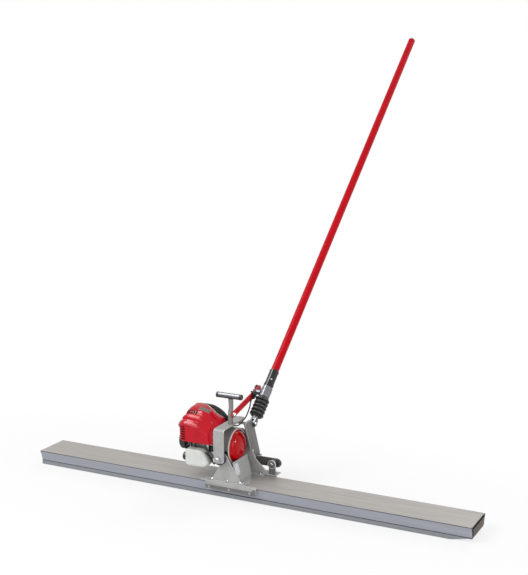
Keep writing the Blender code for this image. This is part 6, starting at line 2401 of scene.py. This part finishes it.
@dataclass
class LinkArm:
    """The red link arm with the throttle's clamp, lever and cable."""

    width: float = 0.026
    overhang: float = 0.034
    grip_back: float = 0.029
    grip_half: float = 0.014
    lever_lift: float = 0.008
    cable_radius: float = 0.0028
    throttle_screw_size: Size = (0.005, 0.005, 0.0022)
    lower: Vector = field(init=False)
    length: float = field(init=False)
    run: Vector = field(init=False)
    lift: Vector = field(init=False)

    def __post_init__(self) -> None:
        """Takes the arm's line from its lower pivot to the collar's pin."""
        self.lower = joint_point("arm_swing")
        run = collar_pin() - self.lower
        run.x = 0
        self.length = run.length
        self.run = run.normalized()
        self.lift = Vector((0, -self.run.z, self.run.y))

    def build(self) -> None:
        """Makes every piece of the arm."""
        self.build_bar()
        self.build_throttle()
        self.build_cable()

    def beside(self, along: float, lift: float) -> Flat:
        """Returns the (y, z) place beside the arm, measured from its lower pivot."""
        place = self.lower + self.run * along + self.lift * lift
        return (place.y, place.z)

    def build_bar(self) -> None:
        """Makes the flat bar with its shallow channel and its upper knob."""
        low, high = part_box("link_arm")
        half = self.width / 2
        outline = [self.beside(u, v) for u, v in arc((0, 0), half, 90, 270, 14)]
        outline += [self.beside(u, v) for u, v in arc((self.length + self.overhang, 0), half, -90, 90, 14)]
        shape = Shape().plate(outline, Plane.YZ, low.x, high.x, 0.0022, tray=(0.0048, 0.0012))
        # The bar's rims are darker red as painted shade.
        shape.piece("link_bar", "link_arm", body="arm", finish=RED_ARM, edge=RED_ARM_EDGE_SHADE)
        # A black knob on the far side holds the arm's upper end.
        y, z = self.beside(self.length + self.overhang, 0)
        radius = self.width / 2 + 0.001
        profile = [(0, 0), (radius - 0.004, 0), (radius - 0.003, 0.003), (radius - 0.001, 0.004)]
        profile += [(radius, 0.006), (radius, 0.010), (radius - 0.002, 0.0125), (0, 0.0130)]
        shape = Shape().turned(profile, Vector((low.x, y, z)), -X_AXIS, 48)
        shape.piece("arm_knob", body="arm", finish=BLACK_NYLON)

    def build_throttle(self) -> None:
        """Makes the throttle's clamp with its screws, and the lever."""
        low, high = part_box("throttle_clamp")
        half = self.width / 2
        grip = self.length - self.grip_back
        corners = [
            self.beside(grip - self.grip_half, 0.0005 - half),
            self.beside(grip + self.grip_half, 0.0005 - half),
            self.beside(grip + self.grip_half, half + 0.006),
            self.beside(grip - self.grip_half, half + 0.006),
        ]
        shape = Shape().plate(eased(corners, 0.004), Plane.YZ, low.x, high.x, 0.0014)
        shape.piece("throttle_bracket", "throttle_clamp", body="arm", finish=BLACK_NYLON, edge=BLACK_NYLON)
        places = []
        for along in (-0.009, 0.009):
            y, z = self.beside(grip + along, -half + 0.004)
            places.append(Place(Vector((high.x, y, z)), X_AXIS, Y_AXIS))
        size = self.throttle_screw_size
        set_out("throttle_screws", Repeat.PAN_SCREW, places, size, BLACK_ENAMEL, body="arm")
        low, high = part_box("throttle_lever")
        tip = (grip - 0.030, self.lever_lift + 0.026)
        outline = [self.beside(u, v) for u, v in arc((grip, self.lever_lift), 0.006, -135, 45, 12)]
        outline += [self.beside(u, v) for u, v in arc(tip, 0.0035, 45, 225, 10)]
        shape = Shape().plate(outline, Plane.YZ, low.x, high.x)
        y, z = self.beside(grip, self.lever_lift)
        boss = [(0, 0), (0.0045, 0), (0.0045, 0.0016), (0.0034, 0.0024), (0, 0.0024)]
        shape.turned(boss, Vector((high.x - 0.0002, y, z)), X_AXIS, 24)
        paint = {"finish": BLACK_ENAMEL, "edge": BLACK_ENAMEL}
        shape.piece("throttle_thumb", "throttle_lever", body="throttle", **paint)

    def build_cable(self) -> None:
        """Makes the throttle cable between the arm and the engine."""
        pin = joint_point("pole_tilt")
        axis = joint_point("exciter_spin")
        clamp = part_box("throttle_clamp")
        hoop_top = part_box("hoop_frame")[1].z
        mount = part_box("engine_mount_plate")[1].x
        x = (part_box("link_arm")[1].x + clamp[1].x) / 2
        y, z = self.beside(self.length - self.grip_back - self.grip_half - 0.0008, 0.0045 - self.width / 2)
        start = Vector((x, y, z))
        guide = [
            start,
            start - self.run * 0.016,
            Vector((x + 0.002, 0.106, pin.z + 0.055)), Vector((x + 0.004, 0.072, hoop_top + 0.0105)),
            Vector((x + 0.006, 0.041, hoop_top + 0.0014)),
            Vector((x + 0.002, 0.018, hoop_top - 0.0095)), Vector((x - 0.010, 0.009, axis.z + 0.0838)),
            Vector((mount + 0.010, 0.006, axis.z + 0.083)),
            Vector((mount + 0.0003, 0.006, axis.z + 0.083)),
        ]
        path = smooth_path(guide, 8)
        obj = Shape().tube(path, self.cable_radius, 14).to_object("cable_sheath", BLACK_RUBBER)
        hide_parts("throttle_cable")
        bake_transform(obj)
        LOG.info("%s bends between the base and the arm", obj.name)


def main() -> None:
    """Builds the studio and every sub-assembly."""
    logging.basicConfig(level=logging.INFO, format="%(message)s")
    Studio().build()
    for assembly in (Blade(), Base(), Exciter(), Carrier(), Engine(), PoleDrive(), LinkArm()):
        LOG.info("Building %s", type(assembly).__name__)
        assembly.build()


if __name__ == "__main__":
    main()
